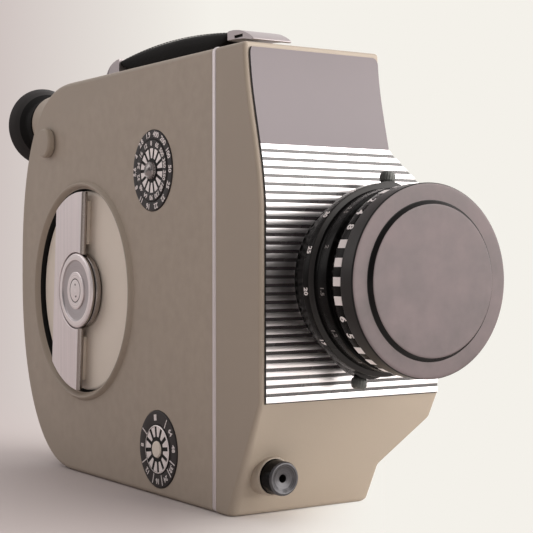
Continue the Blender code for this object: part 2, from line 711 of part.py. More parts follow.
def sprocket(name, centre):
    """Film sprocket: a drum with one row of teeth, on a shaft through the plate."""
    drum = turned(name, [(0, WHEEL_X - 1), (SHAFT_RADIUS, WHEEL_X - 1), (SHAFT_RADIUS, PLATE_FRONT + 1),
                  (10.6, PLATE_FRONT + 1), (10.6, 9), (9.4, 9), (9.4, 21), (10.6, 21), (10.6, 24), (0, 24)],
                  "X", (0, *centre), steel(), 16)
    for i in range(SPROCKET_TEETH):
        angle = math.tau * i / SPROCKET_TEETH
        tooth = box(f"{name}_tooth_{i}", (9.6, -0.6, 8.6), (11.2, 0.6, 10.7), steel())
        tooth.matrix_world = (Matrix.Translation((0, centre[0] * MM, centre[1] * MM))
                              @ Matrix.Rotation(angle, 4, "X"))
        combine(drum, tooth, "UNION")
    return drum


def governor():
    """Brake drum and shaft that hold the motor to the chosen speed."""
    y, z = SPEED_DIAL[:2]
    profile = [(0, -28), (2, -28), (2, -24), (9, -24), (9, -12), (2, -12), (2, PLATE_BACK - GAP),
               (0, PLATE_BACK - GAP)]
    return turned("governor", profile, "X", (0, y, z + 24), brass(), SMALL_STEPS)


# Film path

def spool(name, z):
    """Daylight spool: two flanges on a hollow core."""
    far = SPOOL_BACK + SPOOL_WIDTH
    bore = SHAFT_RADIUS + 0.5
    profile = [(bore, SPOOL_BACK), (SPOOL_RADIUS, SPOOL_BACK), (SPOOL_RADIUS, SPOOL_BACK + 1),
               (16, SPOOL_BACK + 1), (16, far - 1), (SPOOL_RADIUS, far - 1), (SPOOL_RADIUS, far), (bore, far)]
    return turned(name, profile, "X", (0, SPOOL_Y, z), black_paint())


def spindle(name, z):
    """Stepped pin that a spool turns on."""
    profile = [(0, PLATE_BACK - 1), (SHAFT_RADIUS, PLATE_BACK - 1), (SHAFT_RADIUS, PLATE_FRONT + GAP),
               (6, PLATE_FRONT + GAP), (6, SPOOL_BACK - GAP), (SHAFT_RADIUS, SPOOL_BACK - GAP),
               (SHAFT_RADIUS, SPOOL_BACK + SPOOL_WIDTH + 2), (0, SPOOL_BACK + SPOOL_WIDTH + 2)]
    return turned(name, profile, "X", (0, SPOOL_Y, z), steel(), 16)


def film_gate():
    """Gate plate behind the lens, with the frame aperture and the claw's slot."""
    outline = rounded_rectangle((LENS_X - 9, LENS_Z - 28), (LENS_X + 14, LENS_Z + 28), 1, 1)
    aperture = rounded_rectangle((LENS_X - 5.1, LENS_Z - 3.7), (LENS_X + 5.1, LENS_Z + 3.7), 0.4, 1)
    slot = rounded_rectangle((LENS_X + 8.4, LENS_Z - 13), (LENS_X + 10.4, LENS_Z + 2), 0.3, 1)
    return extruded("film_gate", [outline, aperture, slot], "Y", GATE_Y, GATE_Y + 1.4, polished_metal(),
                    smooth=False)


def pressure_plate():
    """Sprung plate that holds the film flat against the gate."""
    outline = rounded_rectangle((LENS_X - 7.5, LENS_Z - 20), (LENS_X + 7.5, LENS_Z + 20), 1, 1)
    return extruded("pressure_plate", [outline], "Y", GATE_Y + 1.8, GATE_Y + 4.2, steel(),
                    origin=(LENS_X, GATE_Y + 3, LENS_Z), smooth=False)


def pull_down_claw():
    """Claw arm beside the pressure plate; its tooth reaches into the gate's slot."""
    arm = box("pull_down_claw", (LENS_X + 8.2, GATE_Y + 2, LENS_Z - 3), (LENS_X + 10.8, GATE_Y + 14, LENS_Z),
              steel(), origin=(LENS_X + 9.4, GATE_Y + 8, LENS_Z - 1.5))
    tooth = box("claw_tooth", (LENS_X + 9, GATE_Y + 0.2, LENS_Z - 2.4),
                (LENS_X + 9.8, GATE_Y + 3, LENS_Z - 0.8), steel())
    return combine(arm, tooth, "UNION")


def mirror_shutter():
    """Half disc mirror at 45 degrees in front of the gate, on its inclined shaft."""
    normal = Vector((0, -1, 1)).normalized()
    centre = Vector((LENS_X - SHUTTER_OFFSET, SHUTTER_Y, LENS_Z))
    across, _, along = axis_frame(normal)
    shape = bmesh.new()
    ring = arc((0, 0), SHUTTER_RADIUS, 0, 200, 10) + arc((0, 0), SHUTTER_HUB_RADIUS, 230, 350, 4)
    second = along.cross(across)
    layers = []
    for height in (0, 1.2):
        layers.append([shape.verts.new(centre + along * height + across * u + second * v) for u, v in ring])
    count = len(layers[0])
    for i in range(count):
        after = (i + 1) % count
        shape.faces.new((layers[0][i], layers[0][after], layers[1][after], layers[1][i]))
    shape.faces.new(layers[0])
    shape.faces.new(layers[1])
    disc = finish("mirror_shutter", shape, polished_metal(), centre, smooth=False)
    shaft = bar("shutter_shaft", 2.0, -15, 0.6, normal, centre, steel(), 16)
    return combine(disc, shaft, "UNION")


# Reflex finder

def focusing_screen():
    return box("focusing_screen", (LENS_X - 8, -92, LENS_Z + 24), (LENS_X + 8, -71, LENS_Z + 26), glass())


def finder_prism():
    """Prism block that turns the finder's light from the screen towards the eyepiece tube."""
    outline = [(-84, 182), (-71.5, 182), (-71.5, 200), (-75, 200), (-84, 191)]
    return extruded("finder_prism", [outline], "X", EYEPIECE_X - 10, LENS_X + 9, glass(), smooth=False)


def finder_tube():
    """Long tube under the top that carries the finder's relay lenses."""
    profile = [(7.6, -62), (9, -62), (9, 98), (7.6, 98)]
    return turned("finder_tube", profile, "Y", (EYEPIECE_X, 0, EYEPIECE_Z), black_paint(), SMALL_STEPS)


def eyepiece_tube():
    """Sleeve in the casing's boss that the eyepiece screws into."""
    profile = [(9.6, 100), (12.6, 100), (12.6, EYEPIECE_FACE + 1.2), (11.4, EYEPIECE_FACE + 1.2),
               (11.4, EYEPIECE_FACE - 14), (9.6, EYEPIECE_FACE - 14)]
    return turned("eyepiece_tube", profile, "Y", (EYEPIECE_X, 0, EYEPIECE_Z), black_paint(), SMALL_STEPS)


def eyepiece_lens():
    """Eyepiece cell with its lens, which turns for the eye's correction."""
    face = EYEPIECE_FACE
    profile = [(0, face - 8), (8, face - 7.2), (11.1, face - 7.2), (11.1, face + 5), (9.6, face + 5),
               (9.6, face - 2.2), (8, face - 2.2), (0, face - 1)]
    return turned("eyepiece_lens", profile, "Y", (EYEPIECE_X, 0, EYEPIECE_Z), black_paint(), SMALL_STEPS)


def eyecup():
    """Flared rubber cup on the eyepiece cell."""
    face = EYEPIECE_FACE + 0.6
    profile = [(11.5, face + 1.6), (15.4, face + 1.6), (15.4, face + 8), (18.6, face + 10.6),
               (22.6, face + 16.8), (21.6, face + 17.6), (17.4, face + 12.6), (13.6, face + 10.6),
               (11.5, face + 9)]
    return turned("eyecup", profile, "Y", (EYEPIECE_X, 0, EYEPIECE_Z), rubber())


def finder_cover_plug():
    """Round cover on the winding side, over the finder's rear adjustment."""
    y, z, radius = PLUG
    face = -HALF_WIDTH - 4.4
    back = -HALF_WIDTH - GAP
    profile = [(0, back), (radius, back), (radius, face + 0.8), (radius - 0.8, face), (0, face)]
    return turned("finder_cover_plug", profile, "X", (0, y, z), body_paint(), SMALL_STEPS)


# Dials and release button

def scale_ring(name, dial, inner):
    y, z, radius = dial
    back = -HALF_WIDTH + DIAL_DEPTH - GAP
    face = -HALF_WIDTH - 0.5
    profile = [(inner, back), (radius, back), (radius, face + 0.4), (radius - 0.4, face), (inner, face)]
    return turned(name, profile, "X", (0, y, z), black_paint())


def exposure_disc():
    """Turning disc of the exposure table, with a domed hub on its pin."""
    y, z, _ = EXPOSURE_DIAL
    back = -HALF_WIDTH + DIAL_DEPTH - GAP
    face = -HALF_WIDTH - 0.9
    profile = [(0, back + 6), (DIAL_PIN_RADIUS, back + 6), (DIAL_PIN_RADIUS, back),
               (EXPOSURE_DISC_RADIUS, back), (EXPOSURE_DISC_RADIUS, face), (4.6, face), (4.3, face - 0.9),
               (3.2, face - 1.5), (0, face - 1.8)]
    return turned("exposure_disc", profile, "X", (0, y, z), black_paint(), 24)


def speed_knob():
    """Knob that sets the frame rate; its spindle reaches in to the governor."""
    y, z, _ = SPEED_DIAL
    back = -HALF_WIDTH + DIAL_DEPTH - GAP
    face = -HALF_WIDTH - 1.2
    profile = [(0, back + 8), (DIAL_PIN_RADIUS, back + 8), (DIAL_PIN_RADIUS, back), (SPEED_KNOB_RADIUS, back),
               (SPEED_KNOB_RADIUS, face), (3.9, face), (3.7, face - 0.5), (0, face - 0.5)]
    return turned("speed_knob", profile, "X", (0, y, z), brushed_metal(), 24)


def start_button():
    """Release button with a dished face and a blind hole for a cable release."""
    front = FRONT + 3
    profile = [(0, FRONT + 23), (BUTTON_RADIUS, FRONT + 23), (BUTTON_RADIUS, front + 0.9),
               (BUTTON_RADIUS - 0.9, front), (BUTTON_RADIUS - 1.6, front), (2.6, front + 1.6),
               (1.7, front + 1.7), (1.7, front + 7), (0, front + 7)]
    return turned("start_button", profile, "Y", (BUTTON_X, 0, BUTTON_Z), black_paint(), SMALL_STEPS)


# Zoom lens: every ring turns about the same axis along Y

def lens_piece(name, profile, look, steps=ROUND_STEPS):
    """Turned piece of the lens; its profile runs in radius and distance in front of the plate."""
    placed = [(radius, FRONT - ahead) for radius, ahead in profile]
    return turned(name, placed, "Y", (LENS_X, 0, LENS_Z), look, steps, origin=(LENS_X, FRONT, LENS_Z))


def lens_mount():
    rim = LENS_BORE + 0.5
    return lens_piece("lens_mount", [(24, -8), (rim, -8), (rim, 2.6), (24, 2.6)], steel())


def lens_tube():
    """Fixed barrel of the lens with its front rim."""
    profile = [(30.2, 3), (36, 3), (36, 4.4), (LENS_BORE, 4.4), (LENS_BORE, 42.2), (38.2, 42.2), (38.2, 49.8),
               (36.6, 49.8), (36.6, 46), (30.2, 46)]
    return lens_piece("lens_tube", profile, black_paint())


def lens_ring(name, sections):
    """Ring on the lens tube; sections are (outer radius, rear, front) steps along the axis."""
    inner = LENS_BORE + GAP
    profile = [(inner, sections[0][1])]
    for radius, rear, front in sections:
        profile += [(radius, rear), (radius, front)]
    profile.append((inner, sections[-1][2]))
    return lens_piece(name, profile, black_paint())


def zoom_knob(name, sign):
    """Small knurled finger knob on the zoom ring, on a stem that points away from the lens axis."""
    direction = Vector((math.sin(ZOOM_KNOB_ANGLE), 0, math.cos(ZOOM_KNOB_ANGLE))) * sign
    foot = ZOOM_RING[0][0] + GAP
    profile = [(0, foot), (1.5, foot), (1.5, 42.6), (3.0, 42.6), (3.2, 43.2), (3.2, 47.6), (2.6, 48.2),
               (0, 48.2)]
    return turned(name, profile, direction, (LENS_X, FRONT - ZOOM_KNOB_AHEAD, LENS_Z), steel(), 16)


def lens_element(name, radius, rear, front, bulge):
    """Round glass with both faces crowned."""
    faces = [(radius * share, bulge * (1 - share * share)) for share in (0, 0.5, 1)]
    profile = [(across, front + rise) for across, rise in faces]
    profile += [(across, rear - rise) for across, rise in reversed(faces)]
    return lens_piece(name, profile, glass(), 24)


def lens_cap():
    """Push-on cap with a shallow dished face."""
    rim = CAP_RADIUS
    profile = [(0, CAP_FACE - 2), (38.6, CAP_FACE - 2), (38.6, CAP_RIM), (rim, CAP_RIM), (rim, CAP_FACE - 1),
               (rim - 0.9, CAP_FACE), (33.6, CAP_FACE), (32.6, CAP_FACE - 0.7), (0, CAP_FACE - 0.7)]
    return lens_piece("lens_cap", profile, black_paint(), BIG_STEPS)


# Carrying strap

def strap():
    """Padded grip: a crescent in side view, deepest in the middle."""
    centre = (STRAP_FRONT + STRAP_REAR) / 2
    half_length = (STRAP_REAR - STRAP_FRONT) / 2
    half_width = STRAP_WIDTH / 2
    loops = []
    for i in range(11):
        share = -1 + 2 * i / 10
        y = centre + share * half_length
        top = 221.2 + 3.6 * (1 - share * share)
        low = 217.2 - 6.4 * (1 - share ** 4)
        loops.append([(x, y, z) for x, z in rounded_rectangle((-half_width, low), (half_width, top), 1.9, 2)])
    return lofted("strap", loops, strap_vinyl())


def strap_bracket(name, outline):
    """Plated end fitting of the strap, a bent strip across its width."""
    half_width = STRAP_WIDTH / 2 + 0.3
    return extruded(name, [outline], "X", -half_width, half_width, polished_metal())


def strap_bracket_front():
    y = STRAP_FRONT - GAP
    outline = [(y, 217), (y, 221.4), (y - 15, 220.4), (y - 20.6, 217), (y - 22.6, 215.6), (y - 21.4, 214.9),
               (y - 15.6, 216)]
    return strap_bracket("strap_bracket_front", outline)


def strap_bracket_rear():
    y = STRAP_REAR + GAP
    outline = [(y, 217), (y, 221.6), (y + 4, 221), (y + 11, 217.6), (y + 16.6, 212),
               (y + 18.6, BODY_HEIGHT + 1), (y + 16.9, BODY_HEIGHT + 0.6), (y + 14.4, 211.6), (y + 9.4, 215.4),
               (y + 4, 217)]
    return strap_bracket("strap_bracket_rear", outline)


def casing():
    main_housing()
    front_housing()
    trim_band()
    film_door()
    for name, height in zip(("door_latch_lower", "door_latch_upper"), LATCH_HEIGHTS):
        door_latch(name, height)
    front_plate()
    tripod_bush()
    finder_cover_plug()


def winding_side():
    winding_disc()
    winding_hub()
    winding_handle()
    handle_pin("handle_pin_lower", -1)
    handle_pin("handle_pin_upper", 1)
    winding_arbor()


def motor():
    mainspring_barrel()
    barrel_gear()
    mainspring()
    ratchet_wheel()
    ratchet_pawl()
    mechanism_plate()
    drive_pinion()
    transport_wheel()
    sprocket_gear("sprocket_gear_upper", UPPER_SPROCKET)
    sprocket_gear("sprocket_gear_lower", LOWER_SPROCKET)
    governor()


def film_path():
    sprocket("sprocket_upper", UPPER_SPROCKET)
    sprocket("sprocket_lower", LOWER_SPROCKET)
    for name, height in zip(("take_up", "supply"), SPOOL_HEIGHTS):
        spool(f"{name}_spool", height)
        spindle(f"{name}_spindle", height)
    film_gate()
    pressure_plate()
    pull_down_claw()
    mirror_shutter()


def finder():
    focusing_screen()
    finder_prism()
    finder_tube()
    eyepiece_tube()
    eyepiece_lens()
    eyecup()


def controls():
    scale_ring("exposure_scale_ring", EXPOSURE_DIAL, EXPOSURE_DISC_RADIUS + GAP)
    exposure_disc()
    scale_ring("speed_scale_ring", SPEED_DIAL, SPEED_KNOB_RADIUS + GAP)
    speed_knob()
    start_button()


def lens():
    lens_mount()
    lens_tube()
    lens_ring("aperture_ring", APERTURE_RING)
    lens_ring("zoom_ring", ZOOM_RING)
    zoom_knob("zoom_knob_upper", 1)
    zoom_knob("zoom_knob_lower", -1)
    lens_ring("focus_ring", FOCUS_RING)
    lens_element("front_lens", 29.8, 40, 44, 2.0)
    lens_element("variator_lens", 28, 22, 25, 2.0)
    lens_cap()


def carrying_strap():
    strap()
    strap_bracket_front()
    strap_bracket_rear()


clear_scene()
casing()
winding_side()
motor()
film_path()
finder()
controls()
lens()
carrying_strap()
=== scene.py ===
"""Looks of the cine camera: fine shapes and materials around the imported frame, and a plain studio.

Every piece is modelled in millimetres in the frame's own axes (lens towards -Y, +X the operator's
left, +Z up, origin in the middle of the base) and stored in metres. Places and main sizes are read
from the frame's nodes; the named values below are the finer sizes that the frame doesn't hold.
"""

import json
import math

import bmesh
import bpy
from mathutils import Matrix, Vector


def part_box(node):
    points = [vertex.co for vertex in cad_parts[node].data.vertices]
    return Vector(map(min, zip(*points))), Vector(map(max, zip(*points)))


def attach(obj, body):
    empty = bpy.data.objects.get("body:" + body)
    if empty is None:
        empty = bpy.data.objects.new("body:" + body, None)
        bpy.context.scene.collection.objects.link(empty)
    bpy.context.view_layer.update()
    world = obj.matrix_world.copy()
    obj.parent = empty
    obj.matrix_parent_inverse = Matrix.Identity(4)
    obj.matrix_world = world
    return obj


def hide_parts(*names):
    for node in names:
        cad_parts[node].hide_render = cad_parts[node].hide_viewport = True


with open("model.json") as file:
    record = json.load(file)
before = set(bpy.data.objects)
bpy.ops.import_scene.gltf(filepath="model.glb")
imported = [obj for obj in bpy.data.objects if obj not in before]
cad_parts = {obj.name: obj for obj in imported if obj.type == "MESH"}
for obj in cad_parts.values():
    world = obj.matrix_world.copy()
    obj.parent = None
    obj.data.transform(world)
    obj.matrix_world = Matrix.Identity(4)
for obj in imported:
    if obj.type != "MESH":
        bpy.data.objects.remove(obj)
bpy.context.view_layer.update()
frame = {"nodes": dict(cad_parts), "record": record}

MM = 0.001
AXES = {"X": Vector((1, 0, 0)), "Y": Vector((0, 1, 0)), "Z": Vector((0, 0, 1))}


def low(node):
    """Lowest corner of a node's box, in millimetres."""
    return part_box(node)[0] / MM


def high(node):
    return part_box(node)[1] / MM


def middle(node):
    return (low(node) + high(node)) / 2


def radius_of(node):
    return (high(node).z - low(node).z) / 2


# Sizes read from the frame, in millimetres
HEIGHT = high("front_housing").z
SIDE = low("front_housing").x
BULGE = high("front_housing").x
PLATE_FACE = low("front_plate").y
CASTING_FACE = low("front_housing").y
PLATE_LOW = low("front_plate").z
PLATE_HIGH = high("front_plate").z
CASTING_BACK = high("front_housing").y
HOUSING_FRONT = low("main_housing").y
WINDING = middle("winding_disc")
DISC_RADIUS = radius_of("winding_disc")
DISC_FACE = high("winding_disc").x - 2.2
HUB = middle("winding_hub")
HUB_RADIUS = radius_of("winding_hub")
HUB_FACE = low("winding_hub").x
LENS = middle("lens_cap")
CAP_RADIUS = radius_of("lens_cap")
CAP_FACE = low("lens_cap").y
EYEPIECE = middle("eyecup")
EXPOSURE = middle("exposure_scale_ring")
SPEED = middle("speed_scale_ring")
BUTTON = middle("start_button")
PLUG = middle("finder_cover_plug")
STRAP_LOW = low("strap")
STRAP_HIGH = high("strap")

# Finer sizes of the casing
HOUSING_BACK = 147.6
EYEPIECE_FACE = 142.0
LENS_OPENING = 34.0
OUTSIDE = -50  # clear of the winding side, where its cutting tools start
STRAP_PADS = ((-54, -40), (77, 84.5))
SPINDLE_BORE = 2.6
DISC_GAP = 0.9
WALL = 2.6
EDGE = 2.4
CROWN_START = 82.0
CROWN_POWERS = (2.2, 2.5)
LEAN_START = 134.0
LEAN_DEPTH = 12.6
CHIN_START = 52.0
CHIN_DEPTH = 24.2
RIGHT_EDGE = ((0, 36.6), (1.6, 38.2), (18.5, 38.9), (40.1, 61.0), (55, BULGE), (138.5, BULGE),
              (162.5, -SIDE), (HEIGHT, -SIDE))
BEND = 1.0
CORNER = 2.0
CHIN_CORNER = 2.5
CRISP_RADIUS = 1.2
LINE_PITCH = 3.608
LINE_WIDTH = 1.5
LINE_COUNT = 30
LINE_DEPTH = 0.30
RIB_CROWN = 0.08
HANDLE_TILT = math.radians(4.0)
HANDLE_FRONT = -6.2
HANDLE_THICKNESS = 3.4


# Materials

class Graph:
    """The nodes of a material or a world, with short ways to add and join them."""

    def __init__(self, owner):
        owner.use_nodes = True
        self.nodes = owner.node_tree.nodes
        self.links = owner.node_tree.links

    def put(self, target, value):
        """Join a socket to an output, or give it a value."""
        if isinstance(value, bpy.types.NodeSocket):
            self.links.new(value, target)
        else:
            target.default_value = value

    def add(self, kind, **values):
        """Add a node; each value goes to the socket of its name, with _ for a space."""
        made = self.nodes.new(f"ShaderNode{kind}")
        for name, value in values.items():
            self.put(made.inputs[name.replace("_", " ")], value)
        return made

    def maths(self, operation, first, second):
        made = self.nodes.new("ShaderNodeMath")
        made.operation = operation
        self.put(made.inputs[0], first)
        self.put(made.inputs[1], second)
        return made.outputs["Value"]

    def vector_maths(self, operation, first, second=None):
        made = self.nodes.new("ShaderNodeVectorMath")
        made.operation = operation
        self.put(made.inputs[0], first)
        if second:
            self.put(made.inputs[1], second)
        return made.outputs["Value" if operation == "LENGTH" else "Vector"]

    def mixed(self, first, second, factor):
        """Colour between two, each an (r, g, b) colour or an output."""
        made = self.nodes.new("ShaderNodeMix")
        made.data_type = "RGBA"
        for name, value in (("A", first), ("B", second), ("Factor", factor)):
            self.put(made.inputs[name], (*value, 1) if isinstance(value, (tuple, list)) else value)
        return made.outputs["Result"]

    def noise(self, coordinates, scale, detail=3.0):
        made = self.add("TexNoise", Vector=coordinates, Scale=scale, Detail=detail, Roughness=0.55)
        return made.outputs["Fac"]

    def spread(self, value, start, end):
        """Stretch the middle of a 0 to 1 noise over a range."""
        made = self.add("MapRange", Value=value, From_Min=0.3, From_Max=0.7, To_Min=start, To_Max=end)
        return made.outputs["Result"]

    def ramp(self, value, first, last):
        """Colour along a ramp between two (position, colour) ends."""
        made = self.add("ValToRGB", Fac=value)
        for element, (position, colour) in zip(made.color_ramp.elements, (first, last)):
            element.position = position
            element.color = (*colour, 1)
        return made.outputs["Color"]

    def fade(self, value, start, end):
        made = self.add("MapRange", Value=value, From_Min=start, From_Max=end)
        made.interpolation_type = "SMOOTHSTEP"
        return made.outputs["Result"]

    def relief(self, height, strength, depth):
        """Shading normal of a fine relief; the depth is in metres."""
        return self.add("Bump", Height=height, Strength=strength, Distance=depth).outputs["Normal"]

    def window(self):
        """Place in the picture, 0 to 1 across and upwards."""
        split = self.add("SeparateXYZ", Vector=self.add("TexCoord").outputs["Window"])
        return split.outputs["X"], split.outputs["Y"]


def new_material(name):
    made = bpy.data.materials.new(name)
    graph = Graph(made)
    shader = graph.nodes["Principled BSDF"]

    def dress(**values):
        for key, value in values.items():
            graph.put(shader.inputs[key.replace("_", " ")], value)

    return made, graph, dress


def scaled(colour, factor):
    return [min(part * factor, 1.0) for part in colour]


def stretched_coordinates(graph, stretch):
    """Object coordinates scaled on each axis, so that a texture can run along one of them."""
    place = graph.add("TexCoord").outputs["Object"]
    return graph.add("Mapping", Vector=place, Scale=stretch).outputs["Vector"]


def surface(name, colour, roughness, metallic=0.0, stretch=(1, 1, 1), grain=900.0, bump=0.0, mottle=0.06,
            rough_range=0.06, wear=0.0, wear_colour=(0.5, 0.48, 0.46), **sockets):
    """A finished material: uneven tone, uneven gloss, fine relief and, where asked, rubbed edges."""
    made, graph, dress = new_material(name)
    coordinates = stretched_coordinates(graph, stretch)
    broad = graph.noise(coordinates, 35.0, 4.0)
    tone = graph.mixed(scaled(colour, 1 - mottle), scaled(colour, 1 + mottle), graph.spread(broad, 0.0, 1.0))
    if wear:
        edges = graph.add("NewGeometry").outputs["Pointiness"]
        rub = graph.add("MapRange", Value=edges, From_Min=0.56, From_Max=0.66, To_Min=0.0, To_Max=wear)
        patches = graph.spread(graph.noise(coordinates, 160.0), 0.0, 1.0)
        tone = graph.mixed(tone, wear_colour, graph.maths("MULTIPLY", rub.outputs["Result"], patches))
    dress(Base_Color=tone, Metallic=metallic, **sockets,
          Roughness=graph.spread(broad, roughness - rough_range, roughness + rough_range))
    if bump:
        dress(Normal=graph.relief(graph.noise(coordinates, grain, 2.0), bump, 0.0002))
    return made


def turned_metal(name, colour, roughness, centre, axis, rings=2600.0, bump=0.12, metallic=1.0):
    """Metal with the fine rings of a lathe around an axis through centre."""
    made, graph, dress = new_material(name)
    away = graph.vector_maths("SUBTRACT", graph.add("TexCoord").outputs["Object"], Vector(centre) * MM)
    flat = graph.vector_maths("MULTIPLY", away, Vector((1, 1, 1)) - AXES[axis])
    ring = graph.add("TexNoise", Scale=rings, Detail=2.0)
    ring.noise_dimensions = "1D"
    graph.put(ring.inputs["W"], graph.vector_maths("LENGTH", flat))
    height = ring.outputs["Fac"]
    dress(Base_Color=graph.mixed(scaled(colour, 0.88), scaled(colour, 1.1), graph.spread(height, 0.0, 1.0)),
          Roughness=graph.spread(height, roughness - 0.05, roughness + 0.07),
          Normal=graph.relief(height, bump, 0.0001), Metallic=metallic)
    return made


PAINT = surface("body_paint", (0.362, 0.303, 0.243), 0.50, grain=1500.0, bump=0.2, mottle=0.015,
                rough_range=0.03, wear=0.25, wear_colour=(0.50, 0.42, 0.35))
DISC_ENAMEL = surface("disc_enamel", (0.81, 0.73, 0.635), 0.40, grain=1200.0, bump=0.08, mottle=0.03)
CHROME = surface("chrome", (0.62, 0.58, 0.59), 0.22, 1.0, grain=2500.0, bump=0.03, mottle=0.03,
                 rough_range=0.05)
MIRROR_STRIPE = surface("satin_stripe", (0.93, 0.89, 0.90), 0.36, 1.0, (0.5, 1, 2), 1500.0, 0.0, 0.01,
                        rough_range=0.01)
PANEL_GREY = surface("panel_enamel", (0.180, 0.155, 0.166), 0.38, grain=1400.0, bump=0.04, mottle=0.02,
                     rough_range=0.02, Specular_IOR_Level=0.35)
STRIPE_LINE = surface("stripe_enamel", (0.034, 0.028, 0.030), 0.28, grain=1400.0, mottle=0.03,
                      Specular_IOR_Level=0.8)
BRUSHED = surface("brushed_aluminium", (0.80, 0.735, 0.74), 0.40, 0.8, (1, 14, 0.25), 700.0, 0.2, 0.07)
STEEL = surface("ground_steel", (0.46, 0.45, 0.45), 0.30, 1.0, (1, 1, 4), 900.0, 0.12, 0.08)
BRASS = surface("brass", (0.60, 0.42, 0.17), 0.32, 1.0, grain=1100.0, bump=0.1, mottle=0.10)
GUNMETAL = surface("gunmetal", (0.085, 0.088, 0.083), 0.42, 0.4, grain=1500.0, bump=0.1, mottle=0.12,
                   wear=0.5)
LENS_BLACK = surface("anodised_black", (0.0018, 0.0016, 0.0016), 0.26, grain=1900.0, bump=0.05, mottle=0.15,
                     wear=0.1, wear_colour=(0.06, 0.055, 0.05), Specular_IOR_Level=0.08)
# Lighter grey anodising on the zoom flange's two flanks.
LENS_GREY = surface("grey_anodising", (0.015, 0.0128, 0.0124), 0.32, grain=1600.0, bump=0.05, mottle=0.12,
                    Specular_IOR_Level=0.25)
CAP_SIDE = surface("cap_skirt", (0.011, 0.0088, 0.0082), 0.40, grain=1500.0, bump=0.08, mottle=0.15,
                   wear=0.15, wear_colour=(0.1, 0.085, 0.08), Specular_IOR_Level=0.28)
CAP_SATIN = surface("cap_satin", (0.102, 0.075, 0.078), 0.45, 0.0, (2.2, 1, 2.2), 900.0, 0.05, 0.24,
                    rough_range=0.06)
DIAL_HUB = surface("dial_hub", (0.30, 0.28, 0.275), 0.22, 1.0, (1, 1, 3), 900.0, 0.1, 0.12)
# Near-black copy of the cap's material for the wall around its raised middle: painted shade.
CAP_WALL_SHADE = surface("cap_wall_painted_shade", (0.0035, 0.003, 0.003), 0.24, grain=900.0, mottle=0.1, IOR=1.25)
DIAL_BLACK = surface("dial_enamel", (0.019, 0.0155, 0.0160), 0.40, grain=1500.0, bump=0.06, mottle=0.10,
                     Specular_IOR_Level=0.3)
# Deep black for black parts; also used as painted shade in the winding recess, the plate's edge rebates and
# under the finder cover's edge.
DEEP_BLACK = surface("deep_black", (0.004, 0.004, 0.004), 0.6, grain=1500.0, bump=0.05, mottle=0.1,
                     Specular_IOR_Level=0.25)
WHITE_INK = surface("white_ink", (0.82, 0.76, 0.75), 0.5, grain=1800.0, bump=0.05, mottle=0.08)
DIM_INK = surface("dim_ink", (0.16, 0.145, 0.14), 0.5, grain=1800.0, bump=0.05, mottle=0.10)
PETAL = surface("dial_petal", (0.90, 0.84, 0.83), 0.36, 0.3, grain=1600.0, bump=0.08, mottle=0.07)
RUBBER = surface("rubber", (0.0040, 0.0036, 0.0036), 0.62, grain=2100.0, bump=0.3, mottle=0.14,
                 Specular_IOR_Level=0.15)
# Lighter copy of the rubber for the cup's outer flare: painted light falling on it.
RUBBER_LIT_FLARE = surface("rubber_flare_painted_light", (0.022, 0.020, 0.020), 0.55, grain=2100.0, bump=0.3, mottle=0.14,
                     Specular_IOR_Level=0.25)
VINYL = surface("strap_vinyl", (0.0026, 0.0021, 0.0019), 0.5, 0.0, (3.5, 0.35, 1.5), 1000.0, 0.9, 0.25,
                Specular_IOR_Level=0.08)
THREAD = surface("strap_thread", (0.03, 0.026, 0.024), 0.7, grain=2500.0, bump=0.5, mottle=0.2)
FILM_BLACK = surface("spool_black", (0.016, 0.015, 0.015), 0.38, grain=1200.0, bump=0.08, mottle=0.12,
                     wear=0.5)
BLUED = surface("blued_spring", (0.13, 0.13, 0.17), 0.28, 1.0, (6, 1, 1), 900.0, 0.1, 0.15)
SCREEN = surface("ground_glass", (0.62, 0.68, 0.68), 0.55, grain=2500.0, bump=0.4, mottle=0.04)


def coated_glass(name, tint):
    """Dark coated glass that turns violet at a glancing angle."""
    made, graph, dress = new_material(name)
    coordinates = stretched_coordinates(graph, (1, 1, 1))
    facing = graph.add("LayerWeight", Blend=0.35).outputs["Facing"]
    dress(Base_Color=graph.mixed(tint, (0.12, 0.07, 0.20), facing),
          Roughness=graph.spread(graph.noise(coordinates, 60.0), 0.01, 0.05),
          IOR=1.6, Coat_Weight=1.0, Coat_Roughness=0.03)
    return made


GLASS = coated_glass("coated_glass", (0.012, 0.018, 0.035))
HUB_METAL = turned_metal("hub_metal", (0.50, 0.465, 0.475), 0.34, HUB, "X")
HUB_CAP_METAL = turned_metal("hub_cap_metal", (0.86, 0.80, 0.80), 0.38, HUB, "X", 1800.0, 0.06)
BUTTON_FACE = turned_metal("button_face", (0.075, 0.073, 0.078), 0.30, BUTTON, "Y", 2400.0, 0.1, 0.6)
SIDE_METAL = surface("side_metal", (0.35, 0.315, 0.295), 0.22, 1.0, (1, 1, 6), 900.0, 0.1, 0.08)
BRACKET_METAL = surface("bracket_plating", (0.42, 0.38, 0.388), 0.42, 0.85, (1, 0.3, 1), 1200.0, 0.15, 0.10,
                        rough_range=0.08)
BAND_METAL = surface("band_metal", (0.70, 0.65, 0.655), 0.42, 0.7, grain=1500.0, bump=0.05, mottle=0.03)
KNOB_METAL = turned_metal("knob_metal", (0.62, 0.60, 0.59), 0.28, (0, low("door_latch_lower").y, 0), "X")


# Mesh helpers

TINY = 1e-6
STRAIGHT = math.radians(172)
LEAST_CUT = 0.03
SMOOTH_ANGLE = 32


def mesh_from(name, shape):
    mesh = bpy.data.meshes.new(name)
    shape.to_mesh(mesh)
    shape.free()
    return mesh


def add_object(name, data):
    made = bpy.data.objects.new(name, data)
    bpy.context.scene.collection.objects.link(made)
    return made


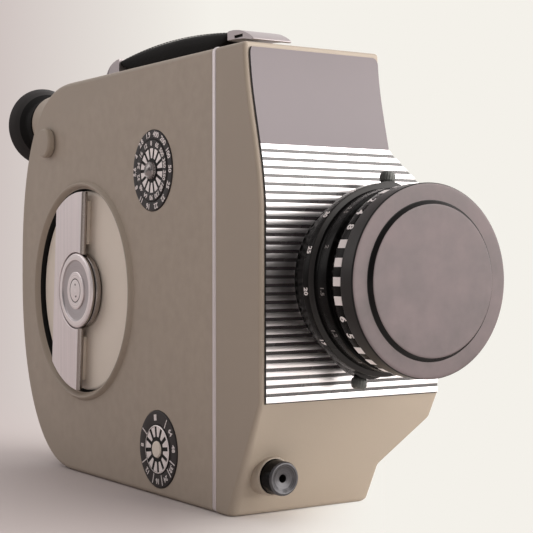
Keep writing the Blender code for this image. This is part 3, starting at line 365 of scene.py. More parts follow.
def smooth_mesh(mesh, angle):
    mesh.shade_smooth()
    mesh.set_sharp_from_angle(angle=math.radians(angle))


def add_soft_edges(target, width, angle=50, segments=2):
    """Round the edges that are sharper than an angle."""
    modifier = target.modifiers.new("soft_edges", "BEVEL")
    modifier.width = width * MM
    modifier.segments = segments
    modifier.limit_method = "ANGLE"
    modifier.angle_limit = math.radians(angle)


def even_normals(target):
    """Let the large faces rule the shading, so that flat walls stay flat beside their round edges."""
    modifier = target.modifiers.new("even_normals", "WEIGHTED_NORMAL")
    modifier.keep_sharp = True
    modifier.weight = 60


def finish(name, shape, looks, body, replaced=(), angle=SMOOTH_ANGLE, bevel=None):
    """Make the piece from a bmesh in millimetres, and put it on its body. An angle of 0 leaves it flat."""
    bmesh.ops.recalc_face_normals(shape, faces=shape.faces)
    bmesh.ops.scale(shape, vec=(MM, MM, MM), verts=shape.verts)
    mesh = mesh_from(name, shape)
    made = add_object(name, mesh)
    for look in looks if isinstance(looks, list) else [looks]:
        mesh.materials.append(look)
    if angle:
        smooth_mesh(mesh, angle)
    if bevel:
        add_soft_edges(made, bevel, 30, 3)
    if body:
        register(made, body, replaced)
    return made


def register(made, body, replaced=()):
    """Let the piece ride on a body, in the place of the nodes that it replaces."""
    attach(made, body)
    if replaced:
        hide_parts(*replaced)


def combine(target, tool, operation="DIFFERENCE"):
    """Cut or add a tool, apply it at once, and remove the tool. Material slots are matched by name."""
    modifier = target.modifiers.new("combine", "BOOLEAN")
    modifier.operation = operation
    modifier.object = tool
    modifier.material_mode = "TRANSFER"
    bake(target)
    bpy.data.objects.remove(tool, do_unlink=True)
    return target


def bake(target):
    """Apply all modifiers to the mesh."""
    bpy.context.view_layer.update()
    evaluated = target.evaluated_get(bpy.context.evaluated_depsgraph_get())
    mesh = bpy.data.meshes.new_from_object(evaluated)
    target.modifiers.clear()
    target.data = mesh
    smooth_mesh(mesh, SMOOTH_ANGLE)


def axis_frame(axis):
    """Two directions across an axis, and the axis itself."""
    along = AXES[axis] if isinstance(axis, str) else Vector(axis).normalized()
    helper = AXES["Z"] if abs(along.z) < 0.9 else AXES["X"]
    across = helper.cross(along).normalized()
    return across, along.cross(across), along


def arc(centre, radius, start, end, steps):
    """Flat points of an arc between two angles in degrees."""
    points = []
    for i in range(steps + 1):
        angle = math.radians(start + (end - start) * i / steps)
        points.append((centre[0] + radius * math.cos(angle), centre[1] + radius * math.sin(angle)))
    return points


def softened(profile, radius, closed, steps=3):
    """Round each corner of a profile of (radius, distance, look) points by a small fillet."""
    rounded = []
    count = len(profile)
    for i, point in enumerate(profile):
        here = Vector(point[:2])
        look = point[2] if len(point) > 2 else 0
        if not closed and i in (0, count - 1):
            rounded.append((*here, look))
            continue
        before = Vector(profile[i - 1][:2]) - here
        after = Vector(profile[(i + 1) % count][:2]) - here
        cut = min(radius, before.length * 0.42, after.length * 0.42)
        if min(before.length, after.length) < TINY or before.angle(after) > STRAIGHT or cut < LEAST_CUT:
            rounded.append((*here, look))
            continue
        first = here + before.normalized() * cut
        last = here + after.normalized() * cut
        previous = profile[i - 1][2] if len(profile[i - 1]) > 2 else 0
        for step in range(steps + 1):
            t = step / steps
            spot = first * (1 - t) ** 2 + here * 2 * t * (1 - t) + last * t * t
            rounded.append((*spot, previous if step == 0 else look))
    return rounded


def turned(name, profile, axis, centre, looks, body, replaced=(), slot=None, steps=96, soften=0.25,
           ripple=None, angle=SMOOTH_ANGLE):
    """Solid of revolution from (radius, distance, look) points; look is that of the face after the point.

    A profile that starts and ends on the axis is open, any other is closed into a ring. Around an axis
    given by its letter, distances are the frame's own; around a direction they run from centre.
    ripple(radius, distance, turn) may change the radius around the axis, for knurls and lugs.
    """
    across, up, along = axis_frame(axis)
    closed = profile[0][0] > 0
    points = softened(profile, soften, closed)
    base = Vector(centre)
    if isinstance(axis, str):
        base["XYZ".index(axis)] = 0
    shape = bmesh.new()
    columns = []
    for step in range(steps):
        turn = math.tau * step / steps
        direction = across * math.cos(turn) + up * math.sin(turn)
        column = []
        for radius, distance, _ in points:
            reach = radius + (ripple(radius, distance, turn) if ripple else 0.0)
            column.append(base + along * distance + direction * reach)
        columns.append(column)
    poles = {}
    if not closed:
        for end in (0, len(points) - 1):
            poles[end] = shape.verts.new(base + along * points[end][1])
    grid = [[poles.get(i) or shape.verts.new(place) for i, place in enumerate(column)] for column in columns]
    count = len(points)
    for step in range(steps):
        here, there = grid[step], grid[(step + 1) % steps]
        for i in range(count if closed else count - 1):
            corners = [here[i], here[(i + 1) % count], there[(i + 1) % count], there[i]]
            face = shape.faces.new(list(dict.fromkeys(corners)))
            face.material_index = points[i][2]
    return finish(name, shape, looks, body, replaced, angle)


def bridge(shape, lower, upper):
    """Faces between two rings of equally many vertices."""
    count = len(lower)
    corners = [(lower[i], lower[(i + 1) % count], upper[(i + 1) % count], upper[i]) for i in range(count)]
    return [shape.faces.new(corner) for corner in corners]


def lofted(name, loops, looks, body=None, replaced=(), angle=SMOOTH_ANGLE, look_at=None,
           bevel=None):
    """Closed skin through loops of equally many points; look_at(band, side) gives the look of a face."""
    shape = bmesh.new()
    rings = [[shape.verts.new(point) for point in loop] for loop in loops]
    for band, (lower, upper) in enumerate(zip(rings, rings[1:])):
        for side, face in enumerate(bridge(shape, lower, upper)):
            if look_at:
                face.material_index = look_at(band, side)
    shape.faces.new(rings[0])
    shape.faces.new(rings[-1])
    return finish(name, shape, looks, body, replaced, angle, bevel)


def extruded(name, outline, start, end, looks, body=None, replaced=(), bevel=None):
    """Prism of a (y, z) outline between two planes across X."""
    loops = [[(x, y, z) for y, z in outline] for x in (start, end)]
    return lofted(name, loops, looks, body, replaced, bevel=bevel)


def cylinder(name, radius, start, end, axis, centre, look, steps=96):
    return turned(name, [(0, start), (radius, start), (radius, end), (0, end)], axis, centre, look, None,
                  steps=steps, soften=0.0)


def block(name, lowest, highest, look):
    shape = bmesh.new()
    size = Vector(highest) - Vector(lowest)
    place = Matrix.Translation((Vector(lowest) + Vector(highest)) / 2) @ Matrix.Diagonal((*size, 1))
    bmesh.ops.create_cube(shape, size=1.0, matrix=place)
    return finish(name, shape, look, None)


def smoothstep(share):
    share = min(max(share, 0.0), 1.0)
    return share * share * (3 - 2 * share)


MARK_RISE = 0.12
MARK_SINK = 0.06


class Marks:
    """Collects numerals and strokes of one piece; place(u, v, w) puts a flat point on its surface."""

    def __init__(self):
        self.shape = bmesh.new()

    def number(self, text, size, place):
        """Raised numeral centred on the place."""
        curve = bpy.data.curves.new("numeral", "FONT")
        curve.body = text
        curve.size = size
        curve.align_x = "CENTER"
        curve.align_y = "CENTER"
        curve.extrude = (MARK_RISE + MARK_SINK) / 2
        curve.offset = size * 0.022
        curve.resolution_u = 3
        holder = add_object("numeral", curve)
        bpy.context.view_layer.update()
        evaluated = holder.evaluated_get(bpy.context.evaluated_depsgraph_get())
        mesh = bpy.data.meshes.new_from_object(evaluated)
        added = bmesh.new()
        added.from_mesh(mesh)
        bmesh.ops.remove_doubles(added, verts=added.verts, dist=0.0005)
        for vertex in added.verts:
            u, v, w = vertex.co
            vertex.co = place(u, v, w + (MARK_RISE - MARK_SINK) / 2)
        self.join(added)
        bpy.data.objects.remove(holder, do_unlink=True)

    def stroke(self, width, height, place, depth=MARK_RISE, sink=MARK_SINK, steps=2):
        """Flat bar of a width along u and a height along v."""
        added = bmesh.new()
        bmesh.ops.create_cube(added, size=1.0)
        cuts = [edge for edge in added.edges if abs(edge.verts[0].co.x - edge.verts[1].co.x) > 0.5]
        bmesh.ops.subdivide_edges(added, edges=cuts, cuts=steps)
        for vertex in added.verts:
            u, v, w = vertex.co
            vertex.co = place(u * width, v * height, w * (depth + sink) + (depth - sink) / 2)
        self.join(added)

    def join(self, added):
        self.shape.from_mesh(mesh_from("marks", added))

    def done(self, name, look, body):
        return finish(name, self.shape, look, body, angle=0)


def on_disc(centre, face, radius, turn):
    """Place marks on the winding side, upright at the top and turned with the dial's angle."""
    def place(u, v, w):
        across = -u
        up = radius + v
        y = centre.y + across * math.cos(turn) - up * math.sin(turn)
        z = centre.z + across * math.sin(turn) + up * math.cos(turn)
        return Vector((face - w, y, z))
    return place


def on_barrel(radius, ahead, turn):
    """Place marks around a lens ring; turn is from the top towards +X, numerals stand towards the front."""
    def place(u, v, w):
        angle = turn - u / radius
        reach = radius + w
        x = LENS.x + reach * math.sin(angle)
        z = LENS.z + reach * math.cos(angle)
        return Vector((x, PLATE_FACE - ahead - v, z))
    return place


# Casing

def rear_outline(inset=0.0, front=HOUSING_FRONT, steps=30):
    """Side outline of the rear casting in (y, z): straight base and top, crowned rear."""
    centre = HEIGHT / 2
    depth = HOUSING_BACK - CROWN_START - inset
    half = centre - inset
    points = [(front, inset), (front + 40, inset)]
    for power, start in zip(CROWN_POWERS, (-90, 0)):
        for i in range(steps + (start == 0)):
            angle = math.radians(start + 90 * i / steps)
            back = depth * max(math.cos(angle), 0.0) ** (2 / power)
            rise = half * abs(math.sin(angle)) ** (2 / power)
            points.append((CROWN_START + back, centre + math.copysign(rise, angle)))
    return points + [(front + 40, HEIGHT - inset), (front, HEIGHT - inset)]


def rear_loop(x, inset=0.0, front=HOUSING_FRONT):
    return [(x, y, z) for y, z in rear_outline(inset, front)]


def interpolate(table, at):
    for (start, first), (end, second) in zip(table, table[1:]):
        if at <= end:
            return first + (second - first) * (at - start) / (end - start)
    return table[-1][1]


def right_edge(z):
    """Half width of the film side at a height, with soft bends."""
    if z < BEND or z > HEIGHT - BEND:
        return interpolate(RIGHT_EDGE, z)
    return sum(interpolate(RIGHT_EDGE, z + BEND * step / 4) for step in range(-4, 5)) / 9


def front_depth(z):
    """How far the front face stands back: it leans above, and the chin cuts in below."""
    if z < CHIN_START:
        return CHIN_DEPTH * (1 - z / CHIN_START)
    return LEAN_DEPTH * smoothstep((z - LEAN_START) / (HEIGHT - LEAN_START))


def front_loop(z, inset, back):
    """Outline of the front casting at a height, open at the back."""
    left = SIDE + inset
    right = right_edge(z) - inset
    front = CASTING_FACE + front_depth(z) + inset
    radius = max(CORNER + CHIN_CORNER * max(1 - z / CHIN_START, 0.0) - inset, 0.5)
    shoulder = max(right + inset + SIDE, 0.6)
    points = [(left, back), (left, front + radius + 4)]
    points += arc((left + radius, front + radius), radius, 180, 270, 8)
    crisp = max(CRISP_RADIUS - inset, 0.4)
    points += arc((right - crisp, front + crisp), crisp, 270, 360, 6)
    points += arc((right - shoulder, CASTING_BACK - inset - 0.3 - shoulder), shoulder, 0, 90, 10)
    points.append((right - shoulder, back))
    return [(x, y, z) for x, y in points]


def steps_between(start, end, step):
    count = max(1, round((end - start) / step))
    return [start + (end - start) * i / count for i in range(count)]


# Heights where the front casting's outline bends or straightens
BENDS = (0, 2.5, 17, 20, 38.6, 41.6, CHIN_START, 56.5, 95, LEAN_START, 140, 161, 164, HEIGHT)


def front_heights(bottom, top):
    """Heights that follow the chin, the bulge and the lean."""
    heights = []
    for start, end in zip(BENDS, BENDS[1:]):
        fine = 0.5 if end - start < 4 else 2.0 if start >= LEAN_START else 8.0
        heights += steps_between(start, end, fine)
    return [z for z in heights if bottom < z < top]


def fillet_levels(start, toward, radius, steps=5):
    """(position, inset) pairs of a round edge that starts at an outer plane."""
    levels = []
    for i in range(steps + 1):
        angle = math.radians(90 * i / steps)
        levels.append((start + toward * radius * (1 - math.cos(angle)), radius * (1 - math.sin(angle))))
    return levels


def rear_casting():
    """Rear casting with its edge radius, winding recess, dial seats, eyepiece boss and strap pads."""
    loops = [rear_loop(x, inset) for x, inset in fillet_levels(SIDE, 1, EDGE)]
    film_side = low("film_door").x - 0.3
    shell = lofted("rear_casting", loops + [rear_loop(film_side)], [PAINT, FILM_BLACK])
    inner = [rear_loop(x, WALL, HOUSING_FRONT - 9) for x in (SIDE + WALL, film_side + 9)]
    combine(shell, lofted("hollow", inner, FILM_BLACK))
    boss_start = 106
    boss_radius = 16.5
    boss = [(0, boss_start), (boss_radius, boss_start), (boss_radius, EYEPIECE_FACE - 2.2),
            (boss_radius - 1.1, EYEPIECE_FACE), (0, EYEPIECE_FACE)]
    combine(shell, turned("boss", boss, "Y", EYEPIECE, PAINT, None, soften=0.9), "UNION")
    combine(shell, cylinder("bore", 13.0, 90, 160, "Y", EYEPIECE, FILM_BLACK))
    rim = DISC_RADIUS + DISC_GAP
    floor = high("winding_disc").x + 0.3
    combine(shell, cylinder("recess", rim + 1.2, OUTSIDE, floor - 1.5, "X", WINDING, PAINT, 160))
    lip_width, lip_height, lip_steps = 4.1, 2.6, 14
    lip = []
    for i in range(lip_steps + 1):
        rise = lip_height * math.sin(math.pi * i / lip_steps)
        lip.append((rim + 0.4 + lip_width * i / lip_steps, SIDE + 0.35 - rise))
    arbor = 4.6
    # The recess floor and the wall down to it are deep black: painted shade in the gap around the disc.
    profile = [(arbor, floor, 1), (rim, floor, 1), (rim, SIDE + 0.25)] + lip
    profile += [(rim + 4.8, floor + 2.4), (arbor, floor + 2.4)]
    seat = turned("seat", profile, "X", WINDING, [PAINT, DEEP_BLACK], None, steps=160, soften=0.15)
    combine(shell, seat, "UNION")
    for dial, node in ((EXPOSURE, "exposure_scale_ring"), (SPEED, "speed_scale_ring")):
        combine(shell, cylinder("seat", radius_of(node) + 0.25, OUTSIDE, SIDE + 1.5, "X", dial, PAINT))
        combine(shell, cylinder("seat", SPINDLE_BORE, OUTSIDE, -20, "X", dial, FILM_BLACK, 32))
    combine(shell, cylinder("seat", 8.3, -5, 8, "Z", middle("tripod_bush"), FILM_BLACK, 64))
    for start, end in STRAP_PADS:
        pad = block("pad", (-8, start, HEIGHT - 1.5), (8, end, high("main_housing").z), PAINT)
        combine(shell, pad, "UNION")
    add_soft_edges(shell, 0.35)
    even_normals(shell)
    register(shell, "casing", ["main_housing"])


def front_casting():
    """Front casting with its chin, lean and side bulge, the button's collar and the lens opening."""
    edge = 1.8
    collar_back = 17
    levels = fillet_levels(0, 1, edge)
    levels += [(z, 0) for z in front_heights(edge + 0.2, HEIGHT - edge - 0.2)]
    levels += [(z, inset) for z, inset in reversed(fillet_levels(HEIGHT, -1, edge))]
    shell = lofted("front_casting", [front_loop(z, inset, CASTING_BACK) for z, inset in levels],
                   [PAINT, FILM_BLACK], angle=24)
    inner = [WALL] + front_heights(WALL + 0.5, HEIGHT - WALL - 0.5) + [HEIGHT - WALL]
    combine(shell, lofted("hollow", [front_loop(z, WALL, CASTING_BACK + 9) for z in inner], FILM_BLACK))
    combine(shell, cylinder("opening", LENS_OPENING, -120, -95, "Y", LENS, FILM_BLACK, 128))
    start = PLATE_FACE + 11
    collar = [(0, start), (8.1, start), (8.5, start + 0.4), (8.7, start + 1.6), (9.0, start + collar_back),
              (0, start + collar_back)]
    combine(shell, turned("collar", collar, "Y", BUTTON, PAINT, None, soften=0.5), "UNION")
    combine(shell, cylinder("bore", 7.8, -112, -70, "Y", BUTTON, FILM_BLACK))
    even_normals(shell)
    register(shell, "casing", ["front_housing"])


# Share of the band's width, and how far its surface lies under the crown there
BAND_CROWN = ((0, 3.4), (0, 0.5), (0.12, 0.14), (0.35, 0.0), (0.65, 0.0), (0.88, 0.14), (1, 0.5), (1, 3.4))


def joint_band():
    """Bright band in the joint, with a crowned outer edge."""
    start, end = low("trim_band").y, high("trim_band").y
    proud = high("trim_band").x + SIDE
    loops = []
    for share, drop in BAND_CROWN:
        y = start + (end - start) * share
        reach = -SIDE + proud - drop
        top = HEIGHT + proud - drop
        corner = max(2.6 - drop, 0.4)
        foot = 0.2 + drop * 0.3 + corner
        corners = ((-reach + corner, foot), (reach - corner, foot), (reach - corner, top - corner),
                   (-reach + corner, top - corner))
        loop = []
        for spot, angle in zip(corners, (180, 270, 0, 90)):
            loop += arc(spot, corner, angle, angle + 90, 6)
        loops.append([(x, y, z) for x, z in loop])
    shape = bmesh.new()
    rings = [[shape.verts.new(point) for point in loop] for loop in loops]
    for before, after in zip(rings, rings[1:] + rings[:1]):
        bridge(shape, before, after)
    finish("joint_band", shape, BAND_METAL, "casing", ["trim_band"])


def door_cover():
    """Lift-off door: shallow pan, soft shoulder, raised panel and a moulded grip line."""
    start = low("film_door").x
    face = -SIDE
    rise = high("film_door").x - face
    shoulder = 5
    levels = [(start, 0.0)]
    levels += [(face - shoulder * (1 - math.sin(a)), shoulder * (1 - math.cos(a)))
               for a in [math.radians(90 * i / 8) for i in range(9)]]
    levels += [(face, 14.0)]
    levels += [(face + rise * smoothstep(i / 6), 14.4 + 2.6 * i / 6) for i in range(7)]
    levels += [(face + rise, 24.0), (face + rise - 0.6, 24.5), (face + rise - 0.6, 25.3), (face + rise, 25.8)]
    pan = lofted("door_cover", [rear_loop(x, inset, HOUSING_FRONT + inset) for x, inset in levels],
                 [PAINT, FILM_BLACK], angle=28)
    inner = [rear_loop(x, 3.0, HOUSING_FRONT + 3) for x in (start - 5, face - 2.4)]
    combine(pan, lofted("hollow", inner, FILM_BLACK))
    for node in ("door_latch_lower", "door_latch_upper"):
        combine(pan, cylinder("bore", 2.9, 20, 50, "X", middle(node), FILM_BLACK, 32))
    register(pan, "film_door", ["film_door"])


def latch_knob(node):
    """Coin-edged latch with a grip bar."""
    place = middle(node)
    inside = low(node).x
    face = high(node).x
    flange = -SIDE + 1.8 + 0.3
    shaft = 2.4
    profile = [(0, inside), (shaft, inside), (shaft, flange), (8, flange), (8, flange + 1.9),
               (7.2, flange + 2.5), (6.2, flange + 2.5), (5.8, flange + 2.2), (0, flange + 2.2)]

    def coin_edge(radius, distance, turn):
        return -0.22 if radius > 7.7 and distance > flange + 0.2 and int(turn / math.tau * 96) % 2 else 0.0

    turned(f"{node}_knob", profile, "X", place, KNOB_METAL, node, [node], "brushed", 192, 0.12, coin_edge,
           angle=40)
    grip = []
    reach = 5.0
    for x, half in ((flange + 1.9, 1.6), (face - 0.8, 1.6), (face - 0.3, 1.35), (face, 0.8)):
        loop = arc((place.y + reach, place.z), half, -90, 90, 8)
        loop += arc((place.y - reach, place.z), half, 90, 270, 8)
        grip.append([(x, y, z) for y, z in loop])
    lofted(f"{node}_grip", grip, KNOB_METAL, node)


def rib(start, end, steps=8):
    """Levels of one bright rib, crowned between its two edges."""
    return [(start + (end - start) * i / steps, RIB_CROWN * (2 * i / steps - 1) ** 2, 0)
            for i in range(steps)]


def striped_plate():
    """Front plate: mirror-bright bands between enamelled lines, and a plain enamelled panel above; its left
    and bottom edges step into a rebate painted deep black as shade.
    """
    base = PLATE_LOW + 0.1
    half = LINE_WIDTH / 2
    flank = 0.04
    panel_start = base + LINE_PITCH * (LINE_COUNT + 1) - half
    levels = []
    for number in range(1, LINE_COUNT + 1):
        line = base + LINE_PITCH * number
        levels += [(line - half, RIB_CROWN, 1), (line - half + flank, LINE_DEPTH, 1),
                   (line + half - flank, LINE_DEPTH, 1)]
        levels += rib(line + half, line + LINE_PITCH - half)
    panel_sunk = 0.06
    levels += [(panel_start, RIB_CROWN, 2), (panel_start + 0.06, panel_sunk, 2)]
    corner = 3.2
    levels += [(z, panel_sunk, 2) for z in steps_between(panel_start + 1, PLATE_HIGH - corner, 2.5)]
    levels += [(PLATE_HIGH - corner * (1 - math.sin(a)), panel_sunk, 2)
               for a in [math.radians(90 * i / 6) for i in range(6)]]
    levels += [(PLATE_HIGH - 0.02, panel_sunk, 2)]
    # The bottom foot is deep black: painted shade in the gap below the plate.
    foot = [(PLATE_LOW, 0.3, 3), (PLATE_LOW + 0.4, 0.3, 3)]
    levels = foot + rib(PLATE_LOW + 0.45, base + LINE_PITCH - half) + levels
    loops, looks = [], []
    for z, sunk, look in levels:
        cut = corner - math.sqrt(max(corner ** 2 - max(z - PLATE_HIGH + corner, 0) ** 2, 0.0))
        left = SIDE + 2.0 + cut * 0.35
        right = right_edge(z) - 0.9 - cut
        front = PLATE_FACE + front_depth(max(z, CHIN_START)) + sunk
        back = PLATE_FACE + front_depth(max(z, CHIN_START)) + 0.62
        edge = max(front, back - 0.25)
        loops.append([(left, back, z), (left, edge, z), (left + 0.45, edge, z), (left + 0.5, front, z),
                      (right - 0.2, front, z), (right, front + 0.2, z), (right, back, z)])
        looks.append(look)
    # Sides 0 and 1 form the left rebate, painted deep black as shade in the gap beside the paint.
    plate = lofted("striped_plate", loops, [MIRROR_STRIPE, STRIPE_LINE, PANEL_GREY, DEEP_BLACK], angle=20,
                   look_at=lambda band, side: 3 if side < 2 else looks[band])
    combine(plate, cylinder("opening", LENS_OPENING, -120, -90, "Y", LENS, DEEP_BLACK, 128))
    register(plate, "casing", ["front_plate"])


def small_casing_pieces():
    """Threaded tripod insert in the base, and the round cover high on the winding side."""
    profile = [(0, 12), (8, 12), (8, 0.3), (5.2, 0.3), (4.7, 0.9)]
    profile += [(4.7 if i % 2 else 5.1, 0.9 + 0.5 * i) for i in range(1, 16)]
    profile += [(4.6, 9.2), (0, 9.2)]
    turned("tripod_insert", profile, "Z", middle("tripod_bush"), STEEL, "casing", ["tripod_bush"], "steel",
           64, 0.08)
    face = low("finder_cover_plug").x
    radius = radius_of("finder_cover_plug")
    neck = radius - 0.4
    # The underside of the cover's edge is deep black: painted shade under the cover.
    profile = [(0, SIDE - 0.2), (neck, SIDE - 0.2), (neck, SIDE - 0.7, 1), (radius, SIDE - 0.8),
               (radius, face + 0.9), (radius - 0.9, face), (0, face + 0.15)]
    turned("finder_cover", profile, "X", PLUG, [PAINT, DEEP_BLACK], "casing", ["finder_cover_plug"],
           "paint", 96, 0.35)


# Winding side

def winding_point(along, across):
    """(y, z) of a spot on the disc, along and across the tilted handle."""
    up = math.cos(HANDLE_TILT) * along + math.sin(HANDLE_TILT) * across
    back = math.cos(HANDLE_TILT) * across - math.sin(HANDLE_TILT) * along
    return WINDING.y + back, WINDING.z + up


def winding_side():
    """Enamelled disc, turned hub with its cap, and the flat folding wing."""
    back = high("winding_disc").x
    profile = [(4.3, DISC_FACE), (DISC_RADIUS - 1.4, DISC_FACE), (DISC_RADIUS - 0.5, DISC_FACE + 0.35),
               (DISC_RADIUS, DISC_FACE + 0.9), (DISC_RADIUS, back), (4.3, back)]
    turned("winding_plate", profile, "X", WINDING, DISC_ENAMEL, "winding_key", ["winding_disc"], "enamel",
           160, 0.2)
    roll = low("winding_handle").x + HANDLE_THICKNESS
    near, far = HANDLE_FRONT + 4.3, HANDLE_FRONT + 6.7
    half = 11.5
    for number, middle_along in enumerate((-36.0, 36.0)):
        corners = ((-half, near), (half, near), (half, far), (-half, far))
        outline = [winding_point(middle_along + along, across) for along, across in corners]
        extruded(f"handle_rail_{number}", outline, roll + 0.1, DISC_FACE + 0.2, DISC_ENAMEL,
                 "winding_key", bevel=0.3)
    face = HUB_FACE
    rim = HUB_RADIUS
    foot = rim - 0.9
    groove = rim - 0.5
    profile = [(4.3, DISC_FACE - 0.25), (foot, DISC_FACE - 0.25, 1), (foot, DISC_FACE - 0.9, 3),
               (rim, DISC_FACE - 1.1, 3), (rim, face + 3.2, 3), (groove, face + 2.8, 1),
               (groove, face + 2.2, 3), (rim, face + 1.8, 3), (rim, face + 0.8, 2), (rim - 0.8, face, 2),
               (rim - 3.6, face), (rim - 4.2, face + 0.7), (4.3, face + 0.7)]
    turned("hub_boss", profile, "X", WINDING, [HUB_METAL, DEEP_BLACK, HUB_CAP_METAL, SIDE_METAL],
           "winding_key", ["winding_hub"], "brushed", 128, 0.22)
    cap = [(0, face + 0.9), (9.9, face + 0.9), (9.9, face + 0.25), (9.5, face + 0.05), (6.35, face + 0.05, 1),
           (6.2, face + 0.25, 1), (6.0, face + 0.25, 1), (5.85, face + 0.05), (0, face + 0.05)]
    made = turned("hub_cap", cap, "X", WINDING, [HUB_CAP_METAL, DEEP_BLACK], None, soften=0.05)
    for sign in (-1, 1):
        spot = (0, WINDING.y - 0.6 + 0.5 * sign, WINDING.z + 3.1 * sign)
        combine(made, cylinder("pin_hole", 0.62, face - 1, face + 0.5, "X", spot, DEEP_BLACK, 20))
    register(made, "winding_key")
    winding_wing()


def winding_wing():
    """Wing with arc ends, a clearance for the hub and a rolled edge around its hinge."""
    reach = 52.2
    ahead = 6.2
    back = HANDLE_FRONT + 32.5
    front = HANDLE_FRONT - 0.4
    clear = HUB_RADIUS + 0.5
    top = math.degrees(math.acos((front + ahead) / reach))
    bottom = math.degrees(math.acos((back + ahead) / reach))
    turn = math.degrees(math.acos(front / clear))
    outline = arc((-ahead, 0), reach, -top, -bottom, 24) + arc((-ahead, 0), reach, bottom, top, 24)
    outline += arc((0, 0), clear, turn, -turn, 60)
    face = low("winding_handle").x
    inner = face + HANDLE_THICKNESS
    outline = [winding_point(along, across) for across, along in outline]
    wing = extruded("winding_wing", outline, face, inner, [BRUSHED, SIDE_METAL])
    margin = 0.01
    beyond = 60
    half = HANDLE_THICKNESS / 2 + margin
    section = [(x + face + half - margin, across + HANDLE_FRONT + half)
               for across, x in arc((0, 0), half, 90, 270, 14)]
    section += [(face - margin, beyond), (inner + margin, beyond)]
    loops = [[(x, *winding_point(along, across)) for x, across in section] for along in (-beyond, beyond)]
    combine(wing, lofted("roll", loops, SIDE_METAL), "INTERSECT")
    add_soft_edges(wing, 0.3, 30)
    register(wing, "winding_handle", ["winding_handle"])


# Dials

def petals(marks, centre, face, inner, outer, count, share, start=0.0):
    """Ring of fan-shaped windows."""
    for number in range(count):
        turn = start + math.tau * number / count
        half = math.tau / count * share / 2
        added = bmesh.new()
        corners = []
        for radius, angles in ((inner, (-0.62, 0.62)), (outer, (1.0, 0.34, -0.34, -1.0))):
            for portion in angles:
                angle = turn + portion * half
                corners.append((centre.y - radius * math.sin(angle), centre.z + radius * math.cos(angle)))
        lower = [added.verts.new((face + 0.06, y, z)) for y, z in corners]
        upper = [added.verts.new((face - 0.14, y, z)) for y, z in corners]
        bridge(added, lower, upper)
        added.faces.new(lower)
        added.faces.new(upper)
        marks.join(added)


def dial_ring(name, node, dial, inner):
    """Fixed black ring of a dial; gives the place of its face."""
    face = low(node).x
    back = high(node).x
    outer = radius_of(node)
    profile = [(inner, back), (outer, back), (outer, face + 0.35), (outer - 0.35, face), (inner, face)]
    turned(name, profile, "X", dial, DIAL_BLACK, "casing", [node], "black", 128, 0.12)
    return face


def exposure_dial():
    """Exposure table: fixed ring of numbers, turning disc with windows and a domed hub."""
    face = dial_ring("exposure_scale", "exposure_scale_ring", EXPOSURE, 15.2)
    outer = Marks()
    values = ("1.9", "2.8", "4", "5.6", "8", "11", "16", "22", "32", "25", "50", "100", "200", "400")
    for number, value in enumerate(values):
        outer.number(value, 3.7, on_disc(EXPOSURE, face, 17.35, -math.tau * (number + 0.5) / len(values)))
    outer.done("exposure_scale_numbers", WHITE_INK, "casing")
    radius = radius_of("exposure_disc")
    back = high("exposure_scale_ring").x
    face = SIDE - 0.9
    hub = low("exposure_disc").x
    profile = [(0, back + 6), (2.3, back + 6), (2.3, back), (radius, back), (radius, face + 0.3),
               (radius - 0.3, face), (10.95, face), (10.85, face + 0.25, 1), (4.6, face + 0.25, 1),
               (4.3, face - 0.1, 2), (4.1, face - 1.4, 2), (3.5, face - 2.1, 2), (3.0, face - 1.9, 2),
               (2.4, face - 2.2, 2), (1.3, hub - 1.0, 2), (0, hub - 1.1, 2)]
    turned("exposure_disc_face", profile, "X", EXPOSURE, [DIAL_BLACK, DEEP_BLACK, DIAL_HUB],
           "exposure_disc", ["exposure_disc"], "black", 112, 0.15)
    windows = Marks()
    petals(windows, EXPOSURE, face + 0.25, 5.9, 10.7, 14, 0.66)
    windows.done("exposure_disc_windows", PETAL, "exposure_disc")
    inner = Marks()
    values = ("8", "12", "16", "24", "32", "48", "64", "90", "130", "180", "250", "350", "500", "65")
    for number, value in enumerate(values):
        inner.number(value, 3.2, on_disc(EXPOSURE, face, 12.95, -math.tau * number / len(values)))
    inner.done("exposure_disc_numbers", WHITE_INK, "exposure_disc")


def speed_dial():
    """Frame-rate dial: ring with ticks and numbers, knob with bright windows and a painted cap."""
    face = dial_ring("speed_scale", "speed_scale_ring", SPEED, 11.9)
    scale = Marks()
    for degrees in (-31, 60, 118, 163, 196, 228, 251):
        scale.stroke(0.55, 5.0, on_disc(SPEED, face, 14.9, -math.radians(degrees)))
    rates = {"8": 88, "12": 139, "16": 180, "24": 211, "32": 239, "48": 277, "64": 307}
    for value, degrees in rates.items():
        scale.number(value, 3.6, on_disc(SPEED, face, 15.2, -math.radians(degrees)))
    scale.stroke(2.4, 2.9, on_disc(SPEED, face, 15.2, -math.radians(9)))
    scale.done("speed_scale_marks", WHITE_INK, "casing")
    radius = radius_of("speed_knob")
    back = high("speed_scale_ring").x
    face = SIDE - 1.2
    cap = low("speed_knob").x
    profile = [(0, back + 8), (2.3, back + 8), (2.3, back), (radius, back), (radius, face + 0.3, 2),
               (radius - 0.35, face, 2), (radius - 0.7, face, 1), (radius - 0.75, face + 0.35, 1),
               (4.0, face + 0.35, 3), (3.9, face - 0.2, 3), (3.6, cap, 3), (0, cap, 3)]
    turned("speed_knob_body", profile, "X", SPEED, [DIAL_BLACK, DEEP_BLACK, PETAL, DISC_ENAMEL],
           "speed_knob", ["speed_knob"], "black", 112, 0.12)
    windows = Marks()
    petals(windows, SPEED, face + 0.35, 6.1, radius - 0.55, 12, 0.66, math.radians(8))
    windows.done("speed_knob_windows", PETAL, "speed_knob")


